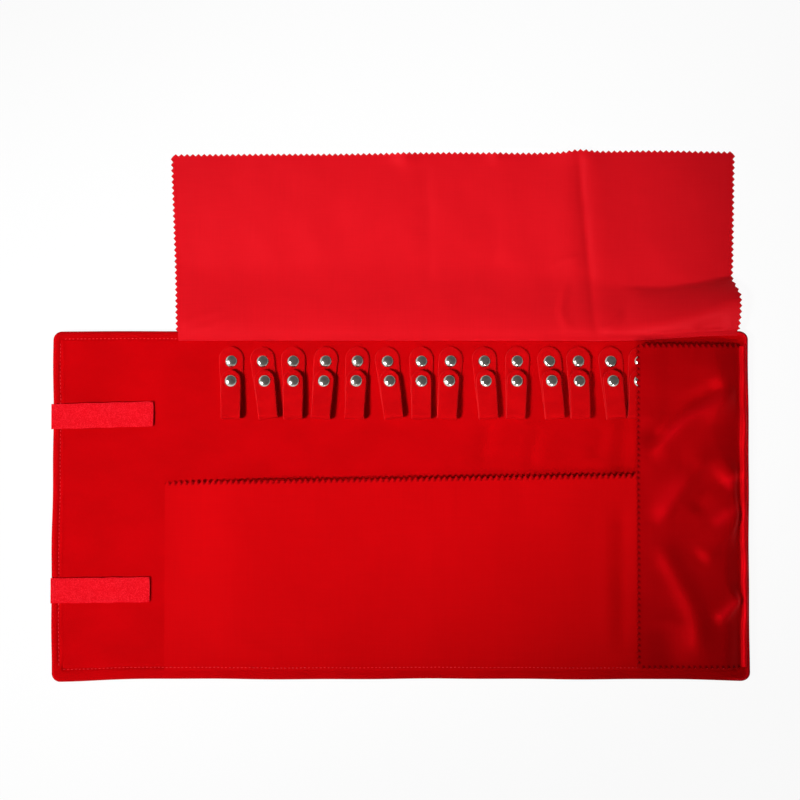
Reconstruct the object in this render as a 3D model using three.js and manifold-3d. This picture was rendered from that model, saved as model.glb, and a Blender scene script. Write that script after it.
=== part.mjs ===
// Jewelry roll, laid open: a padded mat with a closing end, a top flap, a side flap, a pocket, two closure
// straps and a row of snap straps. Millimetres, +Z up. The origin is the centre of the pad's underside, with
// +X along the pad's length and +Y towards the top flap.
import * as THREE from "three";
import { mergeVertices } from "three/addons/utils/BufferGeometryUtils.js";
import Module from "manifold-3d";

// Clearances
const SEAT_GAP = 0.3; // between a piece and what it rests on or is cut by
const POST_CLEARANCE = 0.3; // round a rivet post
const SOCKET_PLAY = 0.6; // between a snap's stud and its socket, so that the leg can swing off

// Pad
const PAD_LENGTH = 556;
const PAD_DEPTH = 280;
const PAD_CORNER_RADIUS = 5;
const COVER_THICKNESS = 1.5;
const RIM_WIDTH = 5.5;
const RIM_ROUND = 2;
const RIM_STAND = 0.4; // rim above lining
const FOAM_THICKNESS = 4.5;
const LINING_THICKNESS = 1;
const LINING_ROLL = 2; // width of the lining's drawn-in edge
const LINING_DROP = 0.4; // depth of the drawn-in edge
const SEAM_GROOVE = 0.6; // between rim and lining
const CLOSING_LENGTH = 86; // left edge to the fold of the closing end

// Cloth
const CLOTH_THICKNESS = 0.6;
const PINK_PITCH = 4.6;
const PINK_DEPTH = 1.8;

// Top flap, open on the table
const FLAP_LENGTH = 147;
const FLAP_HINGE_INSET = 5; // seam to the pad's top edge
const FLAP_FOLD_INSET = 14.8; // fold of the closing end to the flap's left edge
const FLAP_RIGHT_INSET = 4.8;
const FLAP_LEAN = 5.6; // sideways shift of the far edge
const FLAP_DRAPE_RUN = 22; // length over which the flap comes down to the table
const CREASE_INSET = 126; // flap's right edge to the bottom of its crease
const CREASE_HEIGHT = 2; // how far the cloth stands up on each side of the crease
const CREASE_BANK = 9; // bottom of the crease to the top of its banks
const CREASE_SPREAD = 26; // bottom of the crease to where the cloth lies flat again
const CREASE_START = 45; // seam to the start of the crease
const CREASE_RUN = 60; // length over which the crease rises

// Side flap, closed over the pad
const SIDE_FLAP_WIDTH = 84;
const SIDE_FLAP_LENGTH = 256;
const SIDE_HINGE_INSET = 4;
const SIDE_RISE_RUN = 30; // length over which the flap rises from its seam
const SIDE_LOWER_DROP = 2; // how much lower the flap lies below the straps
const SIDE_HEAD_RUN = 22; // length over which the flap comes down past the last strap's head

// Pocket
const POCKET_FOLD_INSET = 4.4;
const POCKET_RIGHT_INSET = 14;
const POCKET_BOTTOM_INSET = 9;
const POCKET_LEFT_DEPTH = 149;
const POCKET_RIGHT_DEPTH = 156;
const POCKET_LIFT = 5.4; // how far the mouth stands off the lining
const POCKET_LEFT_RUN = 62; // length over which the mouth opens at the left
const POCKET_RIGHT_RUN = 75;
const POCKET_BOTTOM_RUN = 55;

// Snap straps
const STRAP_PITCH = 25.2;
const STRAP_START = 57.3; // bare length between the fold of the closing end and the first strap
const STRAP_UNDER_FLAP = 2.9; // side flap's free edge to the last strap, which lies half under it
const STRAP_SHIFTS = [0, 0, -0.7, 0, 0.2, -1, 1, -0.8, 1.1, 2.3, 2.9, 0.9, 1.5, 0]; // sewn a little off pitch
const STRAP_LEANS = [0, 6, 0, -5, -3, 6.5, 0, -4, 4, -2, 5, 1.5, 5, -4]; // degrees, lower end to the right
const STRAP_ANCHOR_INSET = 24.3; // anchor to the pad's top edge
const STRAP_THICKNESS = 1.2;
const STRAP_HEAD_WIDTH = 19.5;
const STRAP_FOLD_WIDTH = 15.5;
const STRAP_HEAD_LENGTH = 11.6; // anchor to the top of the back leg
const STRAP_DROP = 46.5; // anchor to the lowest point of the fold
const SNAP_DROP = 15.9; // anchor to the snap
const FRONT_HEAD_LENGTH = 8.8; // snap to the top of the front leg
const FRONT_HEAD_WIDTH = 16;
const LOOP_GAP = 4.8; // clear height inside the fold
const SNAP_GAP = 3.2; // clear height at the snap

// Snaps and rivets
const CAP_RADIUS = 4.75;
const CAP_HEIGHT = 2.1;
const CAP_EDGE = 0.7; // height of the cap's straight edge
const POST_RADIUS = 1.4;
const STUD_RADIUS = 1.9;
const STUD_HEIGHT = 2;
const SOCKET_WALL = 1.2;
const STAY_WIDTH = 7; // tape under the lining that the rivets hold on to
const STAY_THICKNESS = 0.6;
const STAY_OVERHANG = 8; // past the first and the last rivet

// Closure straps and the patches that they stick to
const TAPE_WIDTH = 20;
const TAPE_THICKNESS = 1.5;
const UPPER_TAPE_LENGTH = 81.6;
const LOWER_TAPE_LENGTH = 79.2;
const UPPER_TAPE_INSET = 67.6; // pad's top edge to the upper tape's middle
const TAPE_SPACING = 139.6; // upper tape to lower tape
const PATCH_LENGTH = 80;
const PATCH_THICKNESS = 0.6;
const PATCH_FOLD_INSET = 34;

// Roundness
const ROUND_SIDES = 12;
const SMALL_ROUND_SIDES = 8;
const ARC_STEPS = 6;

// Levels above the table
const FOAM_BOTTOM = COVER_THICKNESS + SEAT_GAP;
const FOAM_TOP = FOAM_BOTTOM + FOAM_THICKNESS;
const LINING_BOTTOM = FOAM_TOP + SEAT_GAP;
const LINING_TOP = LINING_BOTTOM + LINING_THICKNESS;
const RIM_TOP = LINING_TOP + RIM_STAND;
const STAY_TOP = LINING_BOTTOM - SEAT_GAP;
const STAY_BOTTOM = STAY_TOP - STAY_THICKNESS;
const STRAP_BOTTOM = LINING_TOP + SEAT_GAP;
const STRAP_TOP = STRAP_BOTTOM + STRAP_THICKNESS;
const SEAM_LEVEL = RIM_TOP + SEAT_GAP; // underside of a flap where it is sewn to the rim

// Places on the pad
const LEFT = -PAD_LENGTH / 2;
const RIGHT = PAD_LENGTH / 2;
const BOTTOM = -PAD_DEPTH / 2;
const TOP = PAD_DEPTH / 2;
const FOLD_X = LEFT + CLOSING_LENGTH;
const ANCHOR_Y = TOP - STRAP_ANCHOR_INSET;
const SIDE_SEAM_X = RIGHT - SIDE_HINGE_INSET;
const SIDE_FREE_X = SIDE_SEAM_X - SIDE_FLAP_WIDTH;
const LAST_STRAP_X = SIDE_FREE_X + STRAP_UNDER_FLAP;
const STRAP_COUNT = 1 + Math.round((LAST_STRAP_X - FOLD_X - STRAP_START) / STRAP_PITCH);

// Strap fold
const FOLD_INNER_RADIUS = LOOP_GAP / 2;
const FOLD_OUTER_RADIUS = FOLD_INNER_RADIUS + STRAP_THICKNESS;
const FOLD_CENTRE = FOLD_OUTER_RADIUS - STRAP_DROP; // along the strap, from the anchor
const FOLD_LEVEL = STRAP_BOTTOM + FOLD_OUTER_RADIUS; // middle of the fold, where the strap opens
const FRONT_LEVEL = STRAP_BOTTOM + 2 * FOLD_OUTER_RADIUS; // upper face of the front leg at the fold
const SNAP_REACH = -SNAP_DROP - FOLD_CENTRE; // fold to snap, along the strap
const FRONT_SLOPE = Math.atan((LOOP_GAP - SNAP_GAP) / SNAP_REACH);
const CAP_TOP = STRAP_TOP + SNAP_GAP + STRAP_THICKNESS + SEAT_GAP + CAP_HEIGHT;
const SIDE_FLAP_LEVEL = CAP_TOP + SEAT_GAP + STRAP_THICKNESS / 2;

const wasm = await Module();
wasm.setup();

const velvet = (color) => new THREE.MeshStandardMaterial({ color, roughness: 0.95, metalness: 0 });
const satin = (color) => new THREE.MeshStandardMaterial({ color, roughness: 0.6, metalness: 0 });
const nickel = () => new THREE.MeshStandardMaterial({ color: 0xd4d2cc, roughness: 0.18, metalness: 1 });
const PAD_RED = 0xcd050c;
const POCKET_RED = 0xde050b;
const FLAP_RED = 0xe41821;
const SIDE_FLAP_RED = 0xa5030a;
const STRAP_RED = 0xcd060c;
const TAPE_RED = 0xf21626;
const FOAM_WHITE = 0xe8e2d6;

// A closed geometry as a solid that can be joined and cut.
function solidOf(geometry) {
  const bare = geometry.clone();
  bare.deleteAttribute("normal");
  bare.deleteAttribute("uv");
  const merged = mergeVertices(bare, 1e-4);
  const vertProperties = new Float32Array(merged.attributes.position.array);
  const triVerts = new Uint32Array(merged.index.array);
  return new wasm.Manifold(new wasm.Mesh({ numProp: 3, vertProperties, triVerts }));
}

// A solid back as a geometry with flat faces.
function geometryOf(solid) {
  const mesh = solid.getMesh();
  const geometry = new THREE.BufferGeometry();
  geometry.setAttribute("position", new THREE.BufferAttribute(new Float32Array(mesh.vertProperties), 3));
  geometry.setIndex(new THREE.BufferAttribute(new Uint32Array(mesh.triVerts), 1));
  const flat = geometry.toNonIndexed();
  flat.computeVertexNormals();
  return flat;
}

function named(name, solid, material) {
  const mesh = new THREE.Mesh(geometryOf(solid), material);
  mesh.name = name;
  return mesh;
}

function box(low, high) {
  const size = new THREE.Vector3().subVectors(high, low);
  const middle = new THREE.Vector3().addVectors(low, high).multiplyScalar(0.5);
  const geometry = new THREE.BoxGeometry(size.x, size.y, size.z);
  return solidOf(geometry.translate(middle.x, middle.y, middle.z));
}

function prism(shape, bottom, top, curveSegments = ARC_STEPS) {
  const depth = top - bottom;
  const geometry = new THREE.ExtrudeGeometry(shape, { depth, bevelEnabled: false, curveSegments });
  return solidOf(geometry.translate(0, 0, bottom));
}

// A prism whose upper and lower edges are rounded off by a given width and depth.
function roundedPrism(length, depth, radius, bottom, top, edgeWidth, edgeDepth, edgeSteps) {
  const innerRadius = Math.max(radius - edgeWidth, 0);
  const shape = roundedRectangle(length - 2 * edgeWidth, depth - 2 * edgeWidth, innerRadius);
  const geometry = new THREE.ExtrudeGeometry(shape, {
    depth: top - bottom - 2 * edgeDepth,
    bevelSize: edgeWidth,
    bevelThickness: edgeDepth,
    bevelSegments: edgeSteps,
    curveSegments: ARC_STEPS,
  });
  return solidOf(geometry.translate(0, 0, bottom + edgeDepth));
}

function roundedRectangle(length, depth, radius) {
  const x = length / 2;
  const y = depth / 2;
  const shape = new THREE.Shape();
  if (radius === 0) {
    shape.setFromPoints([
      new THREE.Vector2(-x, -y),
      new THREE.Vector2(x, -y),
      new THREE.Vector2(x, y),
      new THREE.Vector2(-x, y),
    ]);
    return shape;
  }
  const quarter = Math.PI / 2;
  shape.absarc(x - radius, y - radius, radius, 0, quarter, false);
  shape.absarc(radius - x, y - radius, radius, quarter, 2 * quarter, false);
  shape.absarc(radius - x, radius - y, radius, 2 * quarter, 3 * quarter, false);
  shape.absarc(x - radius, radius - y, radius, 3 * quarter, 4 * quarter, false);
  return shape;
}

function cylinder(x, y, radius, bottom, top) {
  const geometry = new THREE.CylinderGeometry(radius, radius, top - bottom, SMALL_ROUND_SIDES);
  geometry.rotateX(Math.PI / 2);
  return solidOf(geometry.translate(x, y, (bottom + top) / 2));
}

// A turned piece from a profile of [radius, height] points, listed from its lowest point up.
function turned(profile) {
  const points = profile.map(([radius, height]) => new THREE.Vector2(radius, height));
  return solidOf(new THREE.LatheGeometry(points, ROUND_SIDES).rotateX(Math.PI / 2));
}

function steps(from, to, count) {
  return Array.from({ length: count + 1 }, (_, i) => from + ((to - from) * i) / count);
}

function smooth(value) {
  const t = Math.min(Math.max(value, 0), 1);
  return t * t * (3 - 2 * t);
}

// A cloth sheet over a grid of x and y lines; under(x, y) gives its underside.
function clothSheet(xs, ys, under) {
  const positions = [];
  const index = [];
  const layer = xs.length * ys.length;
  for (const lift of [0, CLOTH_THICKNESS]) {
    for (const y of ys) {
      for (const x of xs) {
        positions.push(x, y, under(x, y) + lift);
      }
    }
  }
  const quad = (a, b, c, d) => index.push(a, b, c, a, c, d);
  for (let j = 0; j + 1 < ys.length; j++) {
    for (let i = 0; i + 1 < xs.length; i++) {
      const a = j * xs.length + i;
      const d = a + xs.length;
      quad(a, d, d + 1, a + 1);
      quad(layer + a, layer + a + 1, layer + d + 1, layer + d);
    }
  }
  const lastRow = (ys.length - 1) * xs.length;
  for (let i = 0; i + 1 < xs.length; i++) {
    quad(i, i + 1, layer + i + 1, layer + i);
    quad(lastRow + i + 1, lastRow + i, layer + lastRow + i, layer + lastRow + i + 1);
  }
  for (let j = 0; j + 1 < ys.length; j++) {
    const a = j * xs.length;
    const b = a + xs.length - 1;
    quad(a + xs.length, a, layer + a, layer + a + xs.length);
    quad(b, b + xs.length, layer + b + xs.length, layer + b);
  }
  const geometry = new THREE.BufferGeometry();
  geometry.setAttribute("position", new THREE.Float32BufferAttribute(positions, 3));
  geometry.setIndex(index);
  return solidOf(geometry);
}

// Zigzag teeth from one point to another, pointing to the right of the way; the end point is left off.
function pinked(from, to) {
  const along = new THREE.Vector2().subVectors(to, from);
  const out = new THREE.Vector2(along.y, -along.x).normalize().multiplyScalar(PINK_DEPTH);
  const teeth = Math.round(along.length() / PINK_PITCH);
  const points = [];
  for (let i = 0; i < teeth; i++) {
    points.push(from.clone().addScaledVector(along, i / teeth));
    points.push(from.clone().addScaledVector(along, (i + 0.5) / teeth).add(out));
  }
  return points;
}

// A cloth sheet cut to an outline.
function cutCloth(sheet, points) {
  const heights = sheet.boundingBox();
  const outline = prism(new THREE.Shape(points), heights.min[2] - 1, heights.max[2] + 1);
  return sheet.intersect(outline);
}

// A solid cut in two across an axis, with the seat gap between the halves.
function cutAcross(solid, axis, place) {
  const low = new THREE.Vector3().setScalar(-PAD_LENGTH);
  const high = new THREE.Vector3().setScalar(PAD_LENGTH);
  const before = high.clone().setComponent(axis, place - SEAT_GAP / 2);
  const after = low.clone().setComponent(axis, place + SEAT_GAP / 2);
  return [solid.intersect(box(low, before)), solid.intersect(box(after, high))];
}

// The pad is cut through at the fold of the closing end.
function splitAtFold(solid) {
  const [closing, main] = cutAcross(solid, 0, FOLD_X);
  return { main, closing };
}

// The row is set out from its right end, and takes as many straps as the bare length leaves room for.
const straps = Array.from({ length: STRAP_COUNT }, (_, i) => ({
  number: String(i + 1).padStart(2, "0"),
  x: LAST_STRAP_X - STRAP_PITCH * (STRAP_COUNT - 1 - i) + STRAP_SHIFTS[i % STRAP_SHIFTS.length],
  lean: THREE.MathUtils.degToRad(STRAP_LEANS[i % STRAP_LEANS.length]),
}));

const tapes = [
  { name: "upper", y: TOP - UPPER_TAPE_INSET, length: UPPER_TAPE_LENGTH },
  { name: "lower", y: TOP - UPPER_TAPE_INSET - TAPE_SPACING, length: LOWER_TAPE_LENGTH },
];

// The hook patches lie flush in recesses of the cover's underside.
function patchBox(tape, margin, thickness) {
  const start = FOLD_X + PATCH_FOLD_INSET;
  const half = TAPE_WIDTH / 2 + margin;
  const low = new THREE.Vector3(start - margin, tape.y - half, -margin);
  const high = new THREE.Vector3(start + PATCH_LENGTH + margin, tape.y + half, thickness + margin);
  return box(low, high);
}

function outerCover() {
  const whole = roundedPrism(PAD_LENGTH, PAD_DEPTH, PAD_CORNER_RADIUS, 0, RIM_TOP, RIM_ROUND, RIM_ROUND, 2);
  const inside = roundedRectangle(PAD_LENGTH - 2 * RIM_WIDTH, PAD_DEPTH - 2 * RIM_WIDTH, 0);
  let cover = whole.subtract(prism(inside, COVER_THICKNESS, RIM_TOP + 1));
  for (const tape of tapes) {
    cover = cover.subtract(patchBox(tape, SEAT_GAP, PATCH_THICKNESS));
  }
  return splitAtFold(cover);
}

function stayBox(margin) {
  const first = straps[0].x - STAY_OVERHANG - margin;
  const last = straps[straps.length - 1].x + STAY_OVERHANG + margin;
  const half = STAY_WIDTH / 2 + margin;
  const low = new THREE.Vector3(first, ANCHOR_Y - half, STAY_BOTTOM - margin);
  const high = new THREE.Vector3(last, ANCHOR_Y + half, STAY_TOP + margin);
  return box(low, high);
}

function foam() {
  const inset = RIM_WIDTH + SEAT_GAP;
  const shape = roundedRectangle(PAD_LENGTH - 2 * inset, PAD_DEPTH - 2 * inset, 0);
  return splitAtFold(prism(shape, FOAM_BOTTOM, FOAM_TOP).subtract(stayBox(SEAT_GAP)));
}

function lining() {
  const inset = RIM_WIDTH + SEAM_GROOVE;
  const length = PAD_LENGTH - 2 * inset;
  const depth = PAD_DEPTH - 2 * inset;
  let sheet = roundedPrism(length, depth, 0, LINING_BOTTOM, LINING_TOP, LINING_ROLL, LINING_DROP, 1);
  for (const strap of straps) {
    const hole = cylinder(strap.x, ANCHOR_Y, POST_RADIUS + POST_CLEARANCE, LINING_BOTTOM - 1, LINING_TOP + 1);
    sheet = sheet.subtract(hole);
  }
  return splitAtFold(sheet);
}

function topFlap() {
  const seam = TOP - FLAP_HINGE_INSET;
  const left = FOLD_X + FLAP_FOLD_INSET;
  const right = RIGHT - FLAP_RIGHT_INSET;
  const crease = right - CREASE_INSET;
  const drapeStart = FLAP_HINGE_INSET + SEAT_GAP;
  const under = (x, y) => {
    const run = y - seam;
    const down = smooth((run - drapeStart) / FLAP_DRAPE_RUN);
    const off = Math.abs(x - crease);
    const bank = Math.min(off / CREASE_BANK, (CREASE_SPREAD - off) / (CREASE_SPREAD - CREASE_BANK));
    const rise = CREASE_HEIGHT * Math.max(0, bank) * smooth((run - CREASE_START) / CREASE_RUN);
    return THREE.MathUtils.lerp(SEAM_LEVEL, SEAT_GAP, down) + rise;
  };
  const edge = PINK_DEPTH + FLAP_LEAN;
  const xs = [
    left - edge,
    crease - CREASE_SPREAD,
    crease - CREASE_BANK,
    crease,
    crease + CREASE_BANK,
    crease + CREASE_SPREAD,
    right + edge,
  ];
  const drapeEnd = drapeStart + FLAP_DRAPE_RUN;
  const runs = [
    0,
    ...steps(drapeStart, drapeEnd, 7),
    ...steps(CREASE_START, CREASE_START + CREASE_RUN, 4),
    FLAP_LENGTH + edge,
  ];
  const sheet = clothSheet(xs, runs.map((run) => seam + run), under);
  const far = seam + FLAP_LENGTH;
  const seamLeft = new THREE.Vector2(left, seam);
  const seamRight = new THREE.Vector2(right, seam);
  const farRight = new THREE.Vector2(right - FLAP_LEAN, far);
  const farLeft = new THREE.Vector2(left - FLAP_LEAN, far);
  const outline = [
    seamLeft,
    ...pinked(seamRight, farRight),
    ...pinked(farRight, farLeft),
    ...pinked(farLeft, seamLeft).slice(0, -1),
  ];
  return cutCloth(sheet, outline);
}

function sideFlap() {
  const seam = SIDE_SEAM_X;
  const free = SIDE_FREE_X;
  const half = SIDE_FLAP_LENGTH / 2;
  const riseStart = SIDE_HINGE_INSET + SEAT_GAP;
  const lowStart = ANCHOR_Y - STRAP_DROP;
  const headEnd = ANCHOR_Y + STRAP_HEAD_LENGTH;
  const headStart = headEnd - SIDE_HEAD_RUN;
  const under = (x, y) => {
    const up = smooth((seam - x - riseStart) / SIDE_RISE_RUN);
    const low = SIDE_LOWER_DROP * smooth((lowStart - y) / STRAP_DROP);
    const head = (SIDE_FLAP_LEVEL - STRAP_TOP - SEAT_GAP) * smooth((y - headStart) / SIDE_HEAD_RUN);
    return THREE.MathUtils.lerp(SEAM_LEVEL, SIDE_FLAP_LEVEL - low - head, up);
  };
  const riseEnd = seam - riseStart - SIDE_RISE_RUN;
  const xs = [free - PINK_DEPTH - 1, ...steps(riseEnd, seam - riseStart, 7), seam];
  const ys = [
    -half - PINK_DEPTH - 1,
    ...steps(lowStart - STRAP_DROP, lowStart, 4),
    ...steps(headStart, headEnd, 5),
    half + PINK_DEPTH + 1,
  ];
  const sheet = clothSheet(xs, ys, under);
  const lowerSeam = new THREE.Vector2(seam, -half);
  const upperSeam = new THREE.Vector2(seam, half);
  const upperFree = new THREE.Vector2(free, half);
  const lowerFree = new THREE.Vector2(free, -half);
  const outline = [
    ...pinked(upperSeam, upperFree).slice(1),
    ...pinked(upperFree, lowerFree),
    ...pinked(lowerFree, lowerSeam),
    lowerSeam,
    upperSeam,
  ];
  return cutCloth(sheet, outline);
}

// The pocket's cloth: a panel that stands off the lining, and the base that comes down to the bottom seam.
function pocket() {
  const left = FOLD_X + POCKET_FOLD_INSET;
  const right = RIGHT - POCKET_RIGHT_INSET;
  const bottom = BOTTOM + POCKET_BOTTOM_INSET;
  const sewn = LINING_TOP + SEAT_GAP;
  const under = (x, y) => {
    const across = smooth((x - left) / POCKET_LEFT_RUN) * smooth((right - x) / POCKET_RIGHT_RUN);
    return sewn + POCKET_LIFT * across * smooth((y - bottom) / POCKET_BOTTOM_RUN);
  };
  const mouth = bottom + POCKET_RIGHT_DEPTH;
  const xs = [...steps(left, left + POCKET_LEFT_RUN, 5), ...steps(right - POCKET_RIGHT_RUN, right, 5)];
  const ys = [...steps(bottom, bottom + POCKET_BOTTOM_RUN, 5), mouth + PINK_DEPTH + 1];
  const sheet = clothSheet(xs, ys, under);
  const outline = [
    new THREE.Vector2(left, bottom),
    new THREE.Vector2(right, bottom),
    ...pinked(new THREE.Vector2(right, mouth), new THREE.Vector2(left, bottom + POCKET_LEFT_DEPTH)),
    new THREE.Vector2(left, bottom + POCKET_LEFT_DEPTH),
  ];
  const [base, panel] = cutAcross(cutCloth(sheet, outline), 1, bottom + POCKET_BOTTOM_RUN);
  return { base, panel };
}

function closureStrap(tape) {
  const low = new THREE.Vector3(LEFT, tape.y - TAPE_WIDTH / 2, SEAM_LEVEL);
  const high = new THREE.Vector3(LEFT + tape.length, tape.y + TAPE_WIDTH / 2, SEAM_LEVEL + TAPE_THICKNESS);
  return box(low, high);
}

// The domed top of a cap, as profile points above its seat.
function capProfile(seat) {
  return [
    [CAP_RADIUS, seat],
    [CAP_RADIUS, seat + CAP_EDGE],
    [CAP_RADIUS * 0.8, seat + CAP_EDGE + (CAP_HEIGHT - CAP_EDGE) * 0.65],
    [CAP_RADIUS * 0.45, seat + CAP_EDGE + (CAP_HEIGHT - CAP_EDGE) * 0.95],
    [0, seat + CAP_HEIGHT],
  ];
}

// All the anchor rivets and the tape that they hold on to.
function anchorRivetRow() {
  const middle = (STAY_BOTTOM + STAY_TOP) / 2;
  const profile = [[0, middle], [POST_RADIUS, middle], [POST_RADIUS, STRAP_TOP + SEAT_GAP]];
  const rivet = turned([...profile, ...capProfile(STRAP_TOP + SEAT_GAP)]);
  let row = stayBox(0);
  for (const strap of straps) {
    row = row.add(rivet.translate([strap.x, ANCHOR_Y, 0]));
  }
  return row;
}

// Plan of a strap's leg: straight at the fold, round at the head.
function legPlan(foldY, headTop, foldWidth, headWidth) {
  const radius = headWidth / 2;
  const shape = new THREE.Shape();
  shape.moveTo(-foldWidth / 2, foldY);
  shape.lineTo(foldWidth / 2, foldY);
  shape.absarc(0, headTop - radius, radius, 0, Math.PI, false);
  return shape;
}

// The strip as it lies in the fold, over the plan of the back leg, with the anchor at the origin.
function foldedStrip() {
  const quarter = Math.PI / 2;
  const side = new THREE.Shape();
  side.moveTo(STRAP_HEAD_LENGTH, STRAP_BOTTOM);
  side.absarc(FOLD_CENTRE, FOLD_LEVEL, FOLD_OUTER_RADIUS, -quarter, quarter, true);
  side.absarc(FOLD_CENTRE, FOLD_LEVEL, FOLD_INNER_RADIUS, quarter, -quarter, false);
  side.lineTo(STRAP_HEAD_LENGTH, STRAP_TOP);
  const geometry = new THREE.ExtrudeGeometry(side, {
    depth: STRAP_HEAD_WIDTH,
    bevelEnabled: false,
    curveSegments: 2 * ARC_STEPS,
  });
  geometry.translate(0, 0, -STRAP_HEAD_WIDTH / 2);
  const axes = [new THREE.Vector3(0, 1, 0), new THREE.Vector3(0, 0, 1), new THREE.Vector3(1, 0, 0)];
  geometry.applyMatrix4(new THREE.Matrix4().makeBasis(...axes));
  const plan = legPlan(-STRAP_DROP - 1, STRAP_HEAD_LENGTH, STRAP_FOLD_WIDTH, STRAP_HEAD_WIDTH);
  return solidOf(geometry).intersect(prism(plan, 0, FRONT_LEVEL + 1));
}

// Back leg with the lower half of the fold and the snap's stud.
function strapBack(lowerFold) {
  const hole = cylinder(0, 0, POST_RADIUS + POST_CLEARANCE, 0, STRAP_TOP + 1);
  const middle = (STRAP_BOTTOM + STRAP_TOP) / 2;
  const stud = cylinder(0, -SNAP_DROP, STUD_RADIUS, middle, STRAP_TOP + STUD_HEIGHT);
  return lowerFold.subtract(hole).add(stud);
}

// Turns and lifts a piece from the front leg's own frame, with the leg along +Y and its upper face at z = 0.
function onFrontLeg(solid) {
  const slope = THREE.MathUtils.radToDeg(FRONT_SLOPE);
  return solid.rotate([-slope, 0, 0]).translate([0, FOLD_CENTRE, FRONT_LEVEL]);
}

// Front leg with the upper half of the fold.
function strapFront(upperFold) {
  const head = SNAP_REACH + FRONT_HEAD_LENGTH;
  const plan = legPlan(-SEAT_GAP, head, STRAP_FOLD_WIDTH, FRONT_HEAD_WIDTH);
  const hole = cylinder(0, SNAP_REACH, POST_RADIUS + POST_CLEARANCE, -STRAP_THICKNESS - 1, 1);
  const leg = prism(plan, -STRAP_THICKNESS, 0).subtract(hole);
  return onFrontLeg(leg).add(upperFold);
}

// Snap cap with its post and socket.
function snapCap() {
  const socketRadius = STUD_RADIUS + SOCKET_PLAY + SOCKET_WALL;
  const tilt = socketRadius * Math.sin(FRONT_SLOPE);
  const rim = -STRAP_THICKNESS - SNAP_GAP + SEAT_GAP + tilt;
  const roof = -STRAP_THICKNESS - SNAP_GAP + STUD_HEIGHT + SEAT_GAP + tilt;
  const under = -STRAP_THICKNESS - SEAT_GAP;
  const profile = [
    [0, roof],
    [STUD_RADIUS + SOCKET_PLAY, roof],
    [STUD_RADIUS + SOCKET_PLAY, rim],
    [socketRadius, rim],
    [socketRadius, under],
    [POST_RADIUS, under],
    [POST_RADIUS, SEAT_GAP],
  ];
  return onFrontLeg(turned([...profile, ...capProfile(SEAT_GAP)]).translate([0, SNAP_REACH, 0]));
}

function strapAssembly(strap) {
  const group = new THREE.Group();
  group.position.set(strap.x, ANCHOR_Y, 0);
  group.rotation.z = strap.lean;
  const [lowerFold, upperFold] = cutAcross(foldedStrip(), 2, FOLD_LEVEL);
  group.add(named("strap_back_" + strap.number, strapBack(lowerFold), velvet(STRAP_RED)));
  group.add(named("strap_front_" + strap.number, strapFront(upperFold), velvet(STRAP_RED)));
  group.add(named("snap_cap_" + strap.number, snapCap(), nickel()));
  return group;
}

const roll = new THREE.Group();
const layers = [
  ["outer_cover", outerCover(), PAD_RED],
  ["foam", foam(), FOAM_WHITE],
  ["lining", lining(), PAD_RED],
];
for (const [layer, panels, color] of layers) {
  roll.add(named("main_" + layer, panels.main, velvet(color)));
  roll.add(named("closing_" + layer, panels.closing, velvet(color)));
}
roll.add(named("top_flap", topFlap(), satin(FLAP_RED)));
roll.add(named("side_flap", sideFlap(), satin(SIDE_FLAP_RED)));
for (const [part, solid] of Object.entries(pocket())) {
  roll.add(named("pocket_" + part, solid, satin(POCKET_RED)));
}
for (const tape of tapes) {
  roll.add(named("closure_strap_" + tape.name, closureStrap(tape), velvet(TAPE_RED)));
  roll.add(named("hook_patch_" + tape.name, patchBox(tape, 0, PATCH_THICKNESS), velvet(TAPE_RED)));
}
roll.add(named("anchor_rivet_row", anchorRivetRow(), nickel()));
for (const strap of straps) {
  roll.add(strapAssembly(strap));
}

export default roll;
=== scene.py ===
"""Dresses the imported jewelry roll: pad, flaps, pocket, snap straps, closure tapes, light and camera."""

import functools
import logging
import math
from dataclasses import dataclass, field
from enum import Enum
from typing import Any, Optional, Sequence, Union

import bpy
import numpy as np
from numpy.typing import NDArray
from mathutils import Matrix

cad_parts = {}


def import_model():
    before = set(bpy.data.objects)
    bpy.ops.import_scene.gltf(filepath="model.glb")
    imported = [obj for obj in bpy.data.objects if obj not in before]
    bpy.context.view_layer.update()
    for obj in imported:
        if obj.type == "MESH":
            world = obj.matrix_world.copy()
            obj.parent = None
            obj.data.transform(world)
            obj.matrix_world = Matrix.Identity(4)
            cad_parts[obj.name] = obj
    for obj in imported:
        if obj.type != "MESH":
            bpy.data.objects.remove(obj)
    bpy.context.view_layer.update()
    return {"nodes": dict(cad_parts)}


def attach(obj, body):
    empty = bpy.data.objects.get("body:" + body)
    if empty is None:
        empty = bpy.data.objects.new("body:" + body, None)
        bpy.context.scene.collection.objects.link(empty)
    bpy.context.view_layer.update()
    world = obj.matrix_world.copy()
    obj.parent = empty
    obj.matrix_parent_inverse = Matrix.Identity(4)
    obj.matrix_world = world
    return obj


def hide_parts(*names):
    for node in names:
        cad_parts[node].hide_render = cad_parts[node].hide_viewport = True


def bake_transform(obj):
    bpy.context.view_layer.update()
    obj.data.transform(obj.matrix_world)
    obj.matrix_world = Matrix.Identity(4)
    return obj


Array = NDArray[Any]
Faces = list[tuple[int, ...]]
Point = tuple[float, float]
Place = tuple[float, float, float]
Colour = tuple[float, float, float, float]

LOG = logging.getLogger("jewelry_roll")
MM = 0.001

frame: dict[str, Any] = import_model()


# Shapes, in millimetres


def smooth(value: Any) -> Array:
    """Returns the smooth step of a value, held between 0 and 1."""
    held = np.clip(np.asarray(value, dtype=float), 0.0, 1.0)
    return held * held * (3.0 - 2.0 * held)


def bell(distance: Any, width: Any) -> Array:
    """Returns 1 at no distance, falling smoothly to almost 0 at twice the width."""
    return np.exp(-((distance / width) ** 2))


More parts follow.
